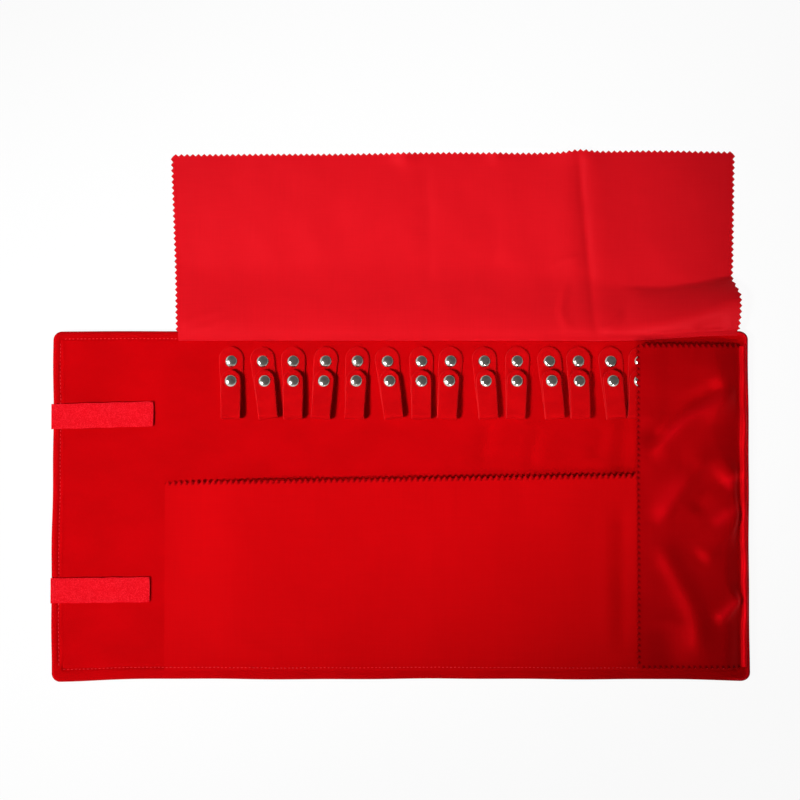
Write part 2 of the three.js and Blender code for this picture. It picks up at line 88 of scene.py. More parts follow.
@dataclass(frozen=True)
class Ramp:
    """A smooth rise from 0 to a height, along a run that is negative where it rises backwards."""

    start: float
    run: float
    height: float = 1.0

    def at(self, place: Any) -> Array:
        """Returns the height at each place."""
        return self.height * smooth((place - self.start) / self.run)


@dataclass(frozen=True)
class Hump:
    """A soft hump across a line."""

    middle: float
    width: float
    height: float = 1.0

    def at(self, place: Any) -> Array:
        """Returns the height at each place."""
        return self.height * bell(place - self.middle, self.width)


def sway(places: Array, waves: Sequence[Place]) -> Array:
    """Returns the sum of plain waves, each given by its height, length and phase."""
    return sum(height * np.sin(places / length + phase) for height, length, phase in waves)


def through(points: Sequence[Point], parts: int = 8) -> Array:
    """Draws a smooth line through points.

    Args:
        points: The points in the plane, in order.
        parts: How many short pieces each stretch gets.

    Returns:
        The points of the smooth line.
    """
    given = np.array(points, dtype=float)
    ends = np.vstack([2 * given[0] - given[1], given, 2 * given[-1] - given[-2]])
    line = []
    for a, b, c, d in zip(ends[:-3], ends[1:-2], ends[2:-1], ends[3:]):
        for t in np.arange(parts) / parts:
            bend = (2 * a - 5 * b + 4 * c - d) * t + (3 * b - a - 3 * c + d) * t * t
            line.append(b + 0.5 * t * (c - a + bend))
    line.append(given[-1])
    return np.array(line)


@dataclass(frozen=True)
class Ripple:
    """A fixed field of small waves, the same on every run."""

    seed: int
    height: float
    shortest: float
    longest: float
    waves: int = 20

    def lift(self, x: Array, y: Array) -> Array:
        """Works out the height of the waves.

        Args:
            x: Places across the cloth.
            y: Places along the cloth.

        Returns:
            The height at each place.
        """
        draw = np.random.default_rng(self.seed)
        turn = draw.uniform(0.0, math.tau, self.waves)
        length = np.exp(draw.uniform(math.log(self.shortest), math.log(self.longest), self.waves))
        phase = draw.uniform(0.0, math.tau, self.waves)
        total = np.zeros(np.broadcast(x, y).shape)
        for a, size, p in zip(turn, length, phase):
            total = total + np.cos(math.tau * (x * math.cos(a) + y * math.sin(a)) / size + p)
        return self.height * total / math.sqrt(self.waves / 2)


@dataclass(frozen=True)
class Fold:
    """A ridge in a cloth, or a hollow where its height is negative, along a smooth line."""

    line: tuple[Point, ...]
    height: float
    left: float
    right: float
    fade: float = 0.25

    def lift(self, x: Array, y: Array) -> Array:
        """Works out the height of the fold.

        Args:
            x: Places across the cloth.
            y: Places along the cloth.

        Returns:
            The height at each place.
        """
        points = through(self.line)
        lengths = np.hypot(*np.diff(points, axis=0).T)
        best = np.full(x.shape, np.inf)
        height = np.zeros(x.shape)
        before = 0.0
        for (ax, ay), (bx, by), length in zip(points[:-1], points[1:], lengths):
            ux, uy = (bx - ax) / length, (by - ay) / length
            along = np.clip((x - ax) * ux + (y - ay) * uy, 0.0, length)
            dx, dy = x - ax - along * ux, y - ay - along * uy
            away = np.hypot(dx, dy)
            width = np.where(ux * dy - uy * dx > 0, self.left, self.right)
            share = (before + along) / lengths.sum()
            ends = smooth(share / self.fade) * smooth((1.0 - share) / self.fade)
            height = np.where(away < best, ends * bell(away, width), height)
            best = np.minimum(best, away)
            before += length
        return self.height * height


Form = Union[Ripple, Fold]


def lift_of(forms: Sequence[Form], x: Array, y: Array) -> Array:
    """Adds up the heights of several ripples and folds."""
    return sum((form.lift(x, y) for form in forms), np.zeros(x.shape))


def ring_faces(rings: int, points: int, closed: bool = True) -> Faces:
    """Lists the quads between neighbouring rings of points.

    Args:
        rings: Number of rings.
        points: Number of points in each ring.
        closed: Whether each ring's last point joins its first.

    Returns:
        The faces, as point numbers.
    """
    faces: Faces = []
    for i in range(rings - 1):
        for j in range(points if closed else points - 1):
            k = (j + 1) % points
            faces.append((i * points + j, i * points + k, (i + 1) * points + k, (i + 1) * points + j))
    return faces


@dataclass(frozen=True)
class Placing:
    """A place on the roll: a turn about the upright axis, after a tilt about the piece's own X."""

    x: float
    y: float
    z: float = 0.0
    turn: float = 0.0
    tilt: float = 0.0

    def put(self, points: Array) -> Array:
        """Moves points of the piece's own frame to this place.

        Args:
            points: The points, with their coordinates last.

        Returns:
            The moved points.
        """
        ct, st = math.cos(self.tilt), math.sin(self.tilt)
        cz, sz = math.cos(self.turn), math.sin(self.turn)
        x, y, z = points[..., 0], points[..., 1], points[..., 2]
        y, z = y * ct - z * st, y * st + z * ct
        return np.stack([self.x + x * cz - y * sz, self.y + x * sz + y * cz, self.z + z], axis=-1)


@dataclass
class Shell:
    """Points and faces that are gathered for one mesh."""

    points: list[Array] = field(default_factory=list)
    faces: Faces = field(default_factory=list)
    count: int = 0

    def add(self, points: Array, faces: Faces) -> None:
        """Adds a patch of points and the faces between them."""
        self.faces += [tuple(i + self.count for i in face) for face in faces]
        self.points.append(points.reshape(-1, 3))
        self.count += len(self.points[-1])

    def add_sheet(self, outer: Array, thickness: float) -> None:
        """Adds a closed sheet of cloth.

        Args:
            outer: Rows of points of its outer face, seen with the rows going up.
            thickness: How far the inner face lies behind the outer one.
        """
        rows, columns, _ = outer.shape
        facing = np.cross(np.gradient(outer, axis=1), np.gradient(outer, axis=0))
        facing /= np.linalg.norm(facing, axis=2, keepdims=True)
        layer = rows * columns
        faces = ring_faces(rows, columns, closed=False)
        faces += [tuple(layer + i for i in reversed(face)) for face in faces]
        top = [(rows - 1) * columns + j for j in reversed(range(columns))]
        right = [i * columns + columns - 1 for i in range(rows)]
        left = [i * columns for i in reversed(range(rows))]
        border = list(range(columns)) + right[1:] + top[1:] + left[1:]
        faces += [(b, a, a + layer, b + layer) for a, b in zip(border[:-1], border[1:])]
        inner = outer - facing * thickness
        self.add(np.concatenate([outer.reshape(-1, 3), inner.reshape(-1, 3)]), faces)

    def add_rings(self, rings: Array, flip: bool = False) -> None:
        """Adds a closed form of rings with flat ends.

        Args:
            rings: The rings of points, in order.
            flip: Whether its faces are turned the other way.
        """
        count, sides, _ = rings.shape
        last = (count - 1) * sides
        faces = ring_faces(count, sides)
        faces += [tuple(range(sides))[::-1], tuple(range(last, last + sides))]
        self.add(rings, [face[::-1] for face in faces] if flip else faces)

    def add_tube(self, line: Array, radii: Array, sides: int = 6) -> None:
        """Adds a closed tube, such as a stitch of thread.

        Args:
            line: The points that it follows.
            radii: Its radius at each point.
            sides: Number of points round it.
        """
        ahead = np.gradient(line, axis=0)
        ahead /= np.linalg.norm(ahead, axis=1, keepdims=True)
        across = np.cross(ahead, [0.0, 0.0, 1.0])
        across /= np.linalg.norm(across, axis=1, keepdims=True)
        over = np.cross(across, ahead)
        turn = (np.arange(sides) * math.tau / sides)[None, :, None]
        round_it = np.cos(turn) * across[:, None] + np.sin(turn) * over[:, None]
        self.add_rings(line[:, None] + radii[:, None, None] * round_it, flip=True)

    def add_turned(self, profile: Sequence[Point], place: Placing, sides: int = 32) -> None:
        """Adds a turned piece.

        Args:
            profile: Radius and height of its points, from the lowest on the axis to the highest.
            place: Where its axis stands.
            sides: Number of points round it.
        """
        turn = np.arange(sides) * math.tau / sides
        rings = np.array([[(r * math.cos(a), r * math.sin(a), z) for a in turn] for r, z in profile])
        self.add_rings(place.put(rings))

    def piece(self, name: str, finish: "Finish", sharp: float = 50.0) -> bpy.types.Object:
        """Makes the mesh object.

        Args:
            name: The piece's name.
            finish: What it is made of.
            sharp: Edges that bend by more degrees than this stay sharp.

        Returns:
            The new object, in metres.
        """
        mesh = bpy.data.meshes.new(name)
        mesh.from_pydata((np.concatenate(self.points) * MM).tolist(), [], self.faces)
        mesh.validate()
        mesh.polygons.foreach_set("use_smooth", [True] * len(mesh.polygons))
        mesh.set_sharp_from_angle(angle=math.radians(sharp))
        mesh.materials.append(made(finish))
        new = bpy.data.objects.new(name, mesh)
        bpy.context.scene.collection.objects.link(new)
        return new


def cloth(name: str, finish: "Finish", outer: Sequence[Array], thickness: float) -> bpy.types.Object:
    """Makes a piece of one closed sheet.

    Args:
        name: The piece's name.
        finish: What it is made of.
        outer: Grids of the three coordinates of its outer face.
        thickness: How thick the cloth is.

    Returns:
        The new object.
    """
    shell = Shell()
    shell.add_sheet(np.stack(outer, axis=-1), thickness)
    return shell.piece(name, finish)


def pinked_steps(length: float, pitch: float) -> Array:
    """Returns even steps of half a tooth along an edge, from 0 to 1, with a whole number of teeth."""
    return np.linspace(0.0, 1.0, 2 * max(1, round(length / pitch)) + 1)


def tooth_tips(count: int) -> Array:
    """Returns which of the steps along a pinked edge are tips of teeth; the last step is none."""
    return np.arange(count) % 2 == count % 2


# Shaders


class Value:
    """A socket of a shader tree; arithmetic on it adds Math nodes."""

    def __init__(self, graph: "Graph", socket: bpy.types.NodeSocket) -> None:
        """Keeps the tree and the socket."""
        self.graph = graph
        self.socket = socket

    def math(self, operation: str, *others: "Operand") -> "Value":
        """Returns a Math node's result with this value first."""
        return self.graph.node("ShaderNodeMath", {"operation": operation}, dict(enumerate((self, *others))))

    def _after(self, operation: str, other: "Operand") -> "Value":
        """Returns a Math node's result with this value second."""
        return self.graph.node("ShaderNodeMath", {"operation": operation}, {0: other, 1: self})

    def __add__(self, other: "Operand") -> "Value":
        """Returns the sum."""
        return self.math("ADD", other)

    def __sub__(self, other: "Operand") -> "Value":
        """Returns the difference."""
        return self.math("SUBTRACT", other)

    def __rsub__(self, other: "Operand") -> "Value":
        """Returns a number minus this value."""
        return self._after("SUBTRACT", other)

    def __mul__(self, other: "Operand") -> "Value":
        """Returns the product."""
        return self.math("MULTIPLY", other)

    def __truediv__(self, other: "Operand") -> "Value":
        """Returns the quotient."""
        return self.math("DIVIDE", other)

    def __rtruediv__(self, other: "Operand") -> "Value":
        """Returns a number over this value."""
        return self._after("DIVIDE", other)

    __radd__ = __add__
    __rmul__ = __mul__

    def sine(self) -> "Value":
        """Returns the sine."""
        return self.math("SINE")

    def held(self) -> "Value":
        """Returns this value, held between 0 and 1."""
        return self.math("MAXIMUM", 0.0).math("MINIMUM", 1.0)


Operand = Union[Value, float]


class Graph:
    """The node tree of one material or world."""

    def __init__(self, owner: Any) -> None:
        """Clears the owner's tree."""
        owner.use_nodes = True
        self.tree = owner.node_tree
        self.tree.nodes.clear()

    def node(
        self,
        kind: str,
        settings: Optional[dict[str, Any]] = None,
        inputs: Optional[dict[Any, Any]] = None,
        output: Any = 0,
    ) -> Value:
        """Adds a node.

        Args:
            kind: The node's type.
            settings: Its settings, set first.
            inputs: Values or links of its sockets, by name or number.
            output: The socket to go on with.

        Returns:
            The chosen output, or the first input of a node without outputs.
        """
        new = self.tree.nodes.new(kind)
        for key, setting in (settings or {}).items():
            setattr(new, key, setting)
        for key, value in (inputs or {}).items():
            if isinstance(value, Value):
                self.tree.links.new(value.socket, new.inputs[key])
            else:
                new.inputs[key].default_value = value
        return Value(self, new.outputs[output]) if len(new.outputs) else Value(self, new.inputs[0])

    def place(self) -> Value:
        """Returns the place on the piece, in metres."""
        return self.node("ShaderNodeTexCoord", output="Object")

    def mark(self, name: str) -> Value:
        """Returns a mark that the piece's points carry."""
        return self.node("ShaderNodeAttribute", {"attribute_name": name}, output="Fac")

    def axes(self, place: Value) -> tuple[Value, Value, Value]:
        """Returns the three parts of a place."""
        first = self.node("ShaderNodeSeparateXYZ", inputs={0: place})
        outputs = first.socket.node.outputs
        return first, Value(self, outputs[1]), Value(self, outputs[2])

    def seen(self) -> Value:
        """Returns 1 for rays that the eye, mirrors and glass send out, and 0 for others."""
        first = self.node("ShaderNodeLightPath", output="Is Camera Ray")
        outputs = first.socket.node.outputs
        others = [Value(self, outputs[name]) for name in ("Is Glossy Ray", "Is Transmission Ray")]
        return sum(others, first).held()

    def scaled(self, place: Value, sizes: Place) -> Value:
        """Returns a place counted in steps of the given sizes in millimetres."""
        scale = tuple(1.0 / (size * MM) for size in sizes)
        return self.node("ShaderNodeVectorMath", {"operation": "MULTIPLY"}, {0: place, 1: scale})

    def noise(self, place: Value, size: Union[float, Place], detail: float) -> Value:
        """Adds a noise.

        Args:
            place: Where it is read.
            size: Size of its spots in millimetres, or one for each axis.
            detail: How many finer layers it has.

        Returns:
            The noise, about 0.5.
        """
        sizes = size if isinstance(size, tuple) else (size, size, size)
        inputs = {"Vector": self.scaled(place, sizes), "Scale": 1.0, "Detail": detail}
        return self.node("ShaderNodeTexNoise", inputs=inputs)

    def stripes(self, along: Value, pitch: float) -> Value:
        """Returns soft stripes between 0 and 1, with their pitch in millimetres."""
        return (along * (math.tau / (pitch * MM))).sine() * 0.5 + 0.5

    def spread(self, value: Value, low: float, high: float) -> Value:
        """Returns a value spread so that low becomes 0 and high becomes 1."""
        return ((value - low) / (high - low)).held()

    def mix(self, factor: Operand, first: Any, second: Any) -> Value:
        """Returns a mix of two colours."""
        return self.node("ShaderNodeMix", {"data_type": "RGBA"}, {0: factor, 6: first, 7: second}, output=2)

    def bump(self, height: Value, strength: float, depth: float) -> Value:
        """Returns a normal that is raised by a height, with its depth in millimetres."""
        inputs = {"Strength": strength, "Distance": depth * MM, "Height": height}
        return self.node("ShaderNodeBump", inputs=inputs)

    def surface(self, **sockets: Any) -> None:
        """Adds the main shader and the output; sockets are named with _ for a space."""
        inputs = {name.replace("_", " "): value for name, value in sockets.items()}
        shader = self.node("ShaderNodeBsdfPrincipled", inputs=inputs)
        self.node("ShaderNodeOutputMaterial", inputs={"Surface": shader})


def screen(red: int, green: int, blue: int) -> Colour:
    """Returns a screen colour from 0 to 255 as the shader's linear colour."""
    parts = [c / 255 for c in (red, green, blue)]
    linear = [c / 12.92 if c <= 0.04045 else ((c + 0.055) / 1.055) ** 2.4 for c in parts]
    return linear[0], linear[1], linear[2], 1.0


WHITE: Colour = (1.0, 1.0, 1.0, 1.0)
# Painted shade for the notches of pinked edges, where the cloth's edge stands off what lies under it.
PAINTED_NOTCH_SHADE: Colour = screen(60, 0, 2)
DYED_SHINE: Colour = (1.0, 0.07, 0.1, 1.0)
DYED_SHEEN: Colour = (1.0, 0.05, 0.07, 1.0)
# Mark for edges: the paler cut edges of the suede, painted shade in the notches of pinked cloth, and a
# painted highlight on the velvet's raised pile at the right end.
CUT_EDGE_AND_PAINTED_LIGHT = "cut_edge_and_painted_light"
PAINTED_FOLD_HIGHLIGHT = "painted_fold_highlight"


@dataclass(frozen=True)
class Finish:
    """What a piece is made of; each kind adds its own nodes."""

    name: str

    def nodes(self, graph: Graph) -> None:
        """Adds the nodes of the finish."""
        raise NotImplementedError


@dataclass(frozen=True)
class Pile(Finish):
    """A short pile, such as velvet or suede: patches where the nap lies the other way, and fine fibres."""

    tint: Colour
    brushed: Colour
    fibre: float = 0.35
    patch: float = 45.0
    depth: float = 0.18
    sheen: float = 0.12
    edge: Optional[Colour] = None

    def nodes(self, graph: Graph) -> None:
        """Adds nap patches, fibres and a soft sheen."""
        place = graph.place()
        nap = graph.spread(graph.noise(place, (self.patch, self.patch * 0.6, self.patch), 3.0), 0.36, 0.66)
        tufts = graph.noise(place, self.fibre * 5, 3.0)
        fibres = graph.noise(place, (self.fibre, self.fibre * 1.8, self.fibre), 2.0)
        fine = graph.spread(fibres * 0.6 + tufts * 0.4, 0.34, 0.66)
        colour = graph.mix(nap * 0.55 + fine * 0.45, self.brushed, self.tint)
        # Paler cut edges on the suede, and a painted highlight on the velvet's raised pile at the right end.
        if self.edge:
            colour = graph.mix(graph.mark(CUT_EDGE_AND_PAINTED_LIGHT) * (fine * 0.5 + 0.5), colour, self.edge)
        graph.surface(
            Base_Color=colour,
            Roughness=0.82 + fine * 0.14,
            Normal=graph.bump(fine, 0.55, self.depth),
            Specular_IOR_Level=0.14,
            Specular_Tint=DYED_SHINE,
            Sheen_Weight=self.sheen,
            Sheen_Roughness=0.5,
            Sheen_Tint=DYED_SHEEN,
        )


@dataclass(frozen=True)
class Satin(Finish):
    """A smooth woven cloth: fine threads both ways, faint slubs and a soft shine."""

    tint: Colour
    shade: Colour
    thread: float = 0.32
    roughness: float = 0.46
    shine: float = 0.42
    sheen: float = 0.06
    # The edge share paints shade into the notches of pinked edges, and the colour after it is a painted
    # highlight on folds.
    edge: float = 0.0
    gloss: float = 0.0
    tone_and_painted_highlight: Optional[Colour] = None

    def nodes(self, graph: Graph) -> None:
        """Adds the weave, the slubs, painted shade in the notches of pinked edges, a painted highlight on
        the roll and crests of folds, and the soft shine.
        """
        place = graph.place()
        x, y, _ = graph.axes(place)
        turn = math.tau / (self.thread * MM)
        weave = (x * turn).sine() * (y * turn).sine() * 0.5 + 0.5
        slub_x = graph.noise(place, (26.0, 0.5, 26.0), 1.0)
        slub_y = graph.noise(place, (0.5, 34.0, 26.0), 1.0)
        slubs = graph.spread(slub_x + slub_y, 0.82, 1.18)
        cloud = graph.spread(graph.noise(place, 60.0, 2.0), 0.35, 0.65)
        colour = graph.mix(slubs * 0.35 + weave * 0.3 + cloud * 0.35, self.shade, self.tint)
        # Painted shade in the notches of pinked edges, then a painted highlight on the roll at the seam and
        # the crests of folds.
        if self.edge:
            colour = graph.mix(graph.mark(CUT_EDGE_AND_PAINTED_LIGHT) * self.edge, colour, PAINTED_NOTCH_SHADE)
        if self.tone_and_painted_highlight:
            colour = graph.mix(graph.mark(PAINTED_FOLD_HIGHLIGHT), colour, self.tone_and_painted_highlight)
        graph.surface(
            Base_Color=colour,
            Roughness=self.roughness + slubs * 0.08 + weave * 0.06,
            Normal=graph.bump(weave * 0.6 + slubs * 0.4, 0.22, 0.06),
            Metallic=self.gloss,
            Specular_IOR_Level=self.shine,
            Specular_Tint=DYED_SHINE,
            Sheen_Weight=self.sheen,
            Sheen_Roughness=0.4,
            Sheen_Tint=DYED_SHEEN,
        )


@dataclass(frozen=True)
class Tape(Finish):
    """A woven tape with loops or hooks on its face."""

    tint: Colour
    speck: Colour
    loop: float = 0.9
    rib: float = 1.1

    def nodes(self, graph: Graph) -> None:
        """Adds the loops, their pale tips and the ribs of the woven ground."""
        place = graph.place()
        inputs = {"Vector": graph.scaled(place, (self.loop, self.loop, self.loop)), "Scale": 1.0}
        loops = 1.0 - graph.spread(graph.node("ShaderNodeTexVoronoi", inputs=inputs), 0.1, 0.75)
        fuzz = graph.noise(place, self.loop * 0.5, 3.0)
        uneven = graph.spread(graph.noise(place, 5.0, 3.0), 0.35, 0.65)
        _, y, _ = graph.axes(place)
        ribs = graph.stripes(y, self.rib)
        pale = graph.spread(loops * 0.5 + fuzz * 0.5 + uneven * 0.12, 0.42, 0.8)
        graph.surface(
            Base_Color=graph.mix(pale, self.tint, self.speck),
            Roughness=0.9 - pale * 0.15,
            Normal=graph.bump(loops * 0.6 + fuzz * 0.3 + ribs * 0.1, 0.8, 0.35),
            Specular_IOR_Level=0.2,
            Specular_Tint=DYED_SHINE,
            Sheen_Weight=0.05,
            Sheen_Tint=DYED_SHEEN,
        )


@dataclass(frozen=True)
class Thread(Finish):
    """A twisted sewing thread."""

    tint: Colour
    shade: Colour
    ply: float = 0.45

    def nodes(self, graph: Graph) -> None:
        """Adds the twist of the thread."""
        place = graph.place()
        x, y, _ = graph.axes(place)
        twist = graph.stripes(x + y, self.ply)
        tone_and_painted_highlight = graph.noise(place, 9.0, 2.0)
        graph.surface(
            Base_Color=graph.mix(twist * 0.6 + tone_and_painted_highlight * 0.4, self.shade, self.tint),
            Roughness=0.55 + twist * 0.2,
            Normal=graph.bump(twist, 0.5, 0.08),
            Specular_IOR_Level=0.4,
            Specular_Tint=DYED_SHINE,
        )


@dataclass(frozen=True)
class Plated(Finish):
    """Bright plated metal with faint tarnish and fine scratches."""

    tint: Colour
    tarnish: Colour

    def nodes(self, graph: Graph) -> None:
        """Adds tarnish, scratches and an uneven gloss."""
        place = graph.place()
        cloud = graph.spread(graph.noise(place, 3.5, 3.0), 0.4, 0.7)
        scratch = graph.spread(graph.noise(place, (4.0, 0.12, 4.0), 1.0), 0.55, 0.75)
        graph.surface(
            Base_Color=graph.mix(cloud * 0.6, self.tint, self.tarnish),
            Metallic=1.0,
            Roughness=0.13 + cloud * 0.07 + scratch * 0.08,
            Normal=graph.bump(scratch, 0.12, 0.03),
        )


@dataclass(frozen=True)
class Ground(Finish):
    """The pale floor, which shows white and keeps the shadow of the roll."""

    matt: Colour = (0.95, 0.95, 0.95, 1.0)
    glow_share: float = 0.93

    def nodes(self, graph: Graph) -> None:
        """Mixes a matt white with a white glow that only rays from the eye, mirrors and glass see."""
        matt = graph.node("ShaderNodeBsdfDiffuse", inputs={"Color": self.matt})
        glow = graph.node("ShaderNodeEmission", inputs={"Color": WHITE, "Strength": 1.0})
        factor = graph.seen() * self.glow_share
        mixed = graph.node("ShaderNodeMixShader", inputs={0: factor, 1: matt, 2: glow})
        graph.node("ShaderNodeOutputMaterial", inputs={"Surface": mixed})


@functools.cache
def made(finish: Finish) -> bpy.types.Material:
    """Returns the one material of a finish."""
    material = bpy.data.materials.new(finish.name)
    finish.nodes(Graph(material))
    return material


# The velvet's edge colour is a painted highlight on the raised pile at the pad's right end; the suede's edge
# colour is the paler colour of its cut edges.
VELVET = Pile("pad_velvet", screen(201, 2, 8), screen(186, 2, 6), sheen=0.04, edge=screen(252, 12, 26))
SUEDE = Pile(
    "strap_suede",
    screen(208, 7, 12),
    screen(187, 4, 9),
    fibre=0.3,
    patch=18.0,
    depth=0.14,
    sheen=0.05,
    edge=screen(228, 53, 54),
)
FLAP_SATIN = Satin("flap_satin", screen(222, 18, 29), screen(212, 15, 25), roughness=0.36, shine=0.4)
# The side flap's edge share is painted shade in the notches of its pinked edges, and its brightest colour is
# a painted highlight on the roll at the seam and the crests of its folds.
SIDE_SATIN = Satin(
    "side_flap_satin",
    screen(196, 3, 10),
    screen(186, 2, 8),
    roughness=0.4,
    shine=0.12,
    edge=0.95,
    gloss=0.35,
    tone_and_painted_highlight=screen(252, 8, 24),
)
# The pocket's edge share is painted shade in the notches of its pinked mouth.
POCKET_CLOTH = Satin(
    "pocket_cloth",
    screen(205, 3, 8),
    screen(195, 2, 6),
    thread=0.4,
    roughness=0.66,
    shine=0.16,
    sheen=0.04,
    edge=0.9,
)
LOOP_TAPE = Tape("loop_tape", screen(224, 12, 25), screen(244, 36, 50))
HOOK_TAPE = Tape("hook_tape", screen(190, 8, 18), screen(222, 30, 40), loop=1.4)
STITCHING = Thread("red_thread", screen(240, 58, 64), screen(222, 34, 42))
NICKEL = Plated("nickel", (0.66, 0.64, 0.58, 1.0), (0.44, 0.42, 0.36, 1.0))
FLOOR = Ground("pale_floor")


class Held(Enum):
    """How a sheet of cloth is held."""

    LAID = "laid"
    FOLDED = "folded"


def dressed(piece: bpy.types.Object, nodes: Sequence[str]) -> None:
    """Hides the nodes that a piece stands for, and logs it.

    Args:
        piece: The piece.
        nodes: The nodes that it stands for, if any.
    """
    if nodes:
        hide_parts(*nodes)
    LOG.info("%s: %d points, for %s", piece.name, len(piece.data.vertices), ", ".join(nodes) or "no node")


def mark(piece: bpy.types.Object, name: str, marks: Array) -> None:
    """Keeps a mark for each point of a piece, for its finish.

    Args:
        piece: The piece.
        name: The mark's name.
        marks: The mark of each point, repeated for each further layer of points.
    """
    attribute = piece.data.attributes.new(name, "FLOAT", "POINT")
    attribute.data.foreach_set("value", np.resize(marks, len(piece.data.vertices)).astype(float))


def metres(*parts: float) -> tuple[float, ...]:
    """Returns millimetres as metres."""
    return tuple(part * MM for part in parts)


# The roll


@dataclass
class Pad:
    """The padded mat with its turned rim, its closing end and the topstitching."""

    half_length: float = 278.0
    half_depth: float = 140.0
    corner: float = 7.0
    rim_top: float = 8.0
    lining_top: float = 7.6
    middle: float = 4.0
    rim_round: float = 2.8
    under_round: float = 2.2
    sharp: float = 70.0
    fill: float = 0.8
    fold_x: float = -192.0
    fold_start: float = 4.0
    fold_run: float = 14.0

    # Lines of the grid: close together at the edge, and wider apart inside
    edge_lines: tuple[float, ...] = (
        0.0, 0.12, 0.45, 0.95, 1.6, 2.4, 3.4, 4.4, 5.2, 5.8, 6.2,
        6.6, 7.0, 7.6, 8.4, 9.2, 9.8, 10.2, 10.8, 12.0, 14.0,
    )
    inner_margin: float = 17.0
    inner_step: float = 3.4
    line_gap: float = 1.0

    # The sewn edge isn't quite straight: waves as height, length and phase
    side_waves: tuple[Place, ...] = ((0.35, 31.0, 0.0), (0.2, 11.0, 1.0))
    long_waves: tuple[Place, ...] = ((0.3, 37.0, 0.5), (0.15, 13.0, 0.0))
    edge_reach: float = 30.0
    right_reach: float = 14.0
    right_shift: float = 1.9
    left_shift: float = 0.3
    left_lean: float = 0.9
    lower_bow: float = 2.0
    lower_shift: float = -0.4
    bow_reach: Point = (90.0, 60.0)
    right_sway: float = 0.6
    upper_sway: float = 0.5

    # Topstitching
    stitch_inset: float = 6.4
    upper_inset: float = 6.2
    lower_inset: float = 10.0
    lower_band: float = 14.0
    stitch_pitch: float = 3.15
    stitch_length: float = 1.9
    stitch_seed: int = 21
    stitch_change: float = 0.25
    stitch_slip: float = 0.12
    stitch_arch: tuple[float, ...] = (-0.34, 0.08, 0.3, 0.3, 0.08, -0.34)
    stitch_radii: tuple[float, ...] = (0.12, 0.26, 0.3, 0.3, 0.26, 0.12)
    stitch_stop: float = 270.0
    flap_start: float = -176.0
    groove_depth: float = 0.75
    groove_gain: Ramp = Ramp(-60.0, 300.0, 0.5)
    groove_width: float = 1.3
    pucker: Ripple = Ripple(5, 0.16, 5.0, 11.0)
    pucker_width: float = 4.0
    pucker_ramp: Ramp = Ramp(0.0, 3.0)

    # Soft surface of the lining and the raised pile at the right end
    softness: Ripple = Ripple(8, 0.3, 60.0, 190.0)
    soft_ramp: Ramp = Ramp(8.0, 30.0)
    lining_run: float = 4.0
    deepest: float = -2.6
    highest: float = 0.15
    bare_rise: Ramp = Ramp(-186.0, -20.0, 0.9)
    bead_height: float = 1.7
    bead_across: Hump = Hump(1.8, 1.5)
    bead_along: Ramp = Ramp(258.0, 14.0)

    # Recesses under the pad for the hook patches
    patch_x: Point = (-158.0, -78.0)
    patch_y: Point = (72.4, -67.2)
    patch_half: float = 10.0
    patch_depth: float = 0.9
    patch_gap: float = 0.4
    patch_lines: tuple[float, ...] = (-0.5, -0.3, 0.3, 0.5)

    def lines(self, half: float, extra: Sequence[float]) -> Array:
        """Sets out grid lines, close together at the rim and at the stitching.

        Args:
            half: Half of the pad's size this way.
            extra: Further places that need a line.

        Returns:
            The places of the lines, in order.
        """
        reach = half - self.inner_margin
        inner = np.linspace(-reach, reach, round(2 * reach / self.inner_step))
        near = [x for x in inner if all(abs(x - e) > self.line_gap for e in extra)]
        edges = [side * (half - e) for side in (-1, 1) for e in self.edge_lines]
        return np.array(sorted(edges + near + list(extra)))

    def drift(self, x: Array, y: Array) -> tuple[Array, Array]:
        """Moves places near the edge, where the sewn edge isn't quite straight.

        Args:
            x: Places along the pad.
            y: Places across the pad.

        Returns:
            The moved places.
        """
        from_left, from_right = x + self.half_length, self.half_length - x
        from_low, from_top = y + self.half_depth, self.half_depth - y
        left = 1.0 - smooth(from_left / self.edge_reach)
        right = 1.0 - smooth(from_right / self.right_reach)
        low = 1.0 - smooth(from_low / self.edge_reach)
        high = 1.0 - smooth(from_top / self.edge_reach)
        side, roll = sway(y, self.side_waves), sway(x, self.long_waves)
        bow = self.lower_bow * smooth(from_left / self.bow_reach[0]) * smooth(from_right / self.bow_reach[1])
        lean = self.left_lean * from_top / (2 * self.half_depth)
        at_left, at_right = side + self.left_shift - lean, self.right_shift + self.right_sway * side
        at_low, at_high = bow + roll + self.lower_shift, self.upper_sway * roll
        return x + left * at_left + right * at_right, y + low * at_low + high * at_high

    def forms(self) -> list[Form]:
        """Lists the slack folds of the lining at the top left and between the straps and the pocket."""
        return [
            Fold(((-268.0, 60.0), (-205.0, 132.0)), -1.5, 16.0, 26.0),
            Fold(((76.0, 72.0), (70.0, 52.0), (66.0, 30.0)), -1.8, 6.0, 8.0),
            Fold(((116.0, 66.0), (108.0, 46.0), (104.0, 26.0)), -1.9, 5.0, 8.0),
            Fold(((166.0, 68.0), (162.0, 52.0), (156.0, 36.0)), -2.0, 5.0, 8.0),
            Fold(((184.0, 84.0), (181.0, 56.0), (178.0, 22.0)), -2.6, 6.0, 9.0, 0.15),
            Fold(((134.0, 126.0), (140.0, 108.0), (136.0, 84.0)), -2.0, 4.5, 6.0),
            Fold(((150.0, 130.0), (158.0, 116.0), (156.0, 92.0)), -2.0, 4.5, 6.0),
        ]

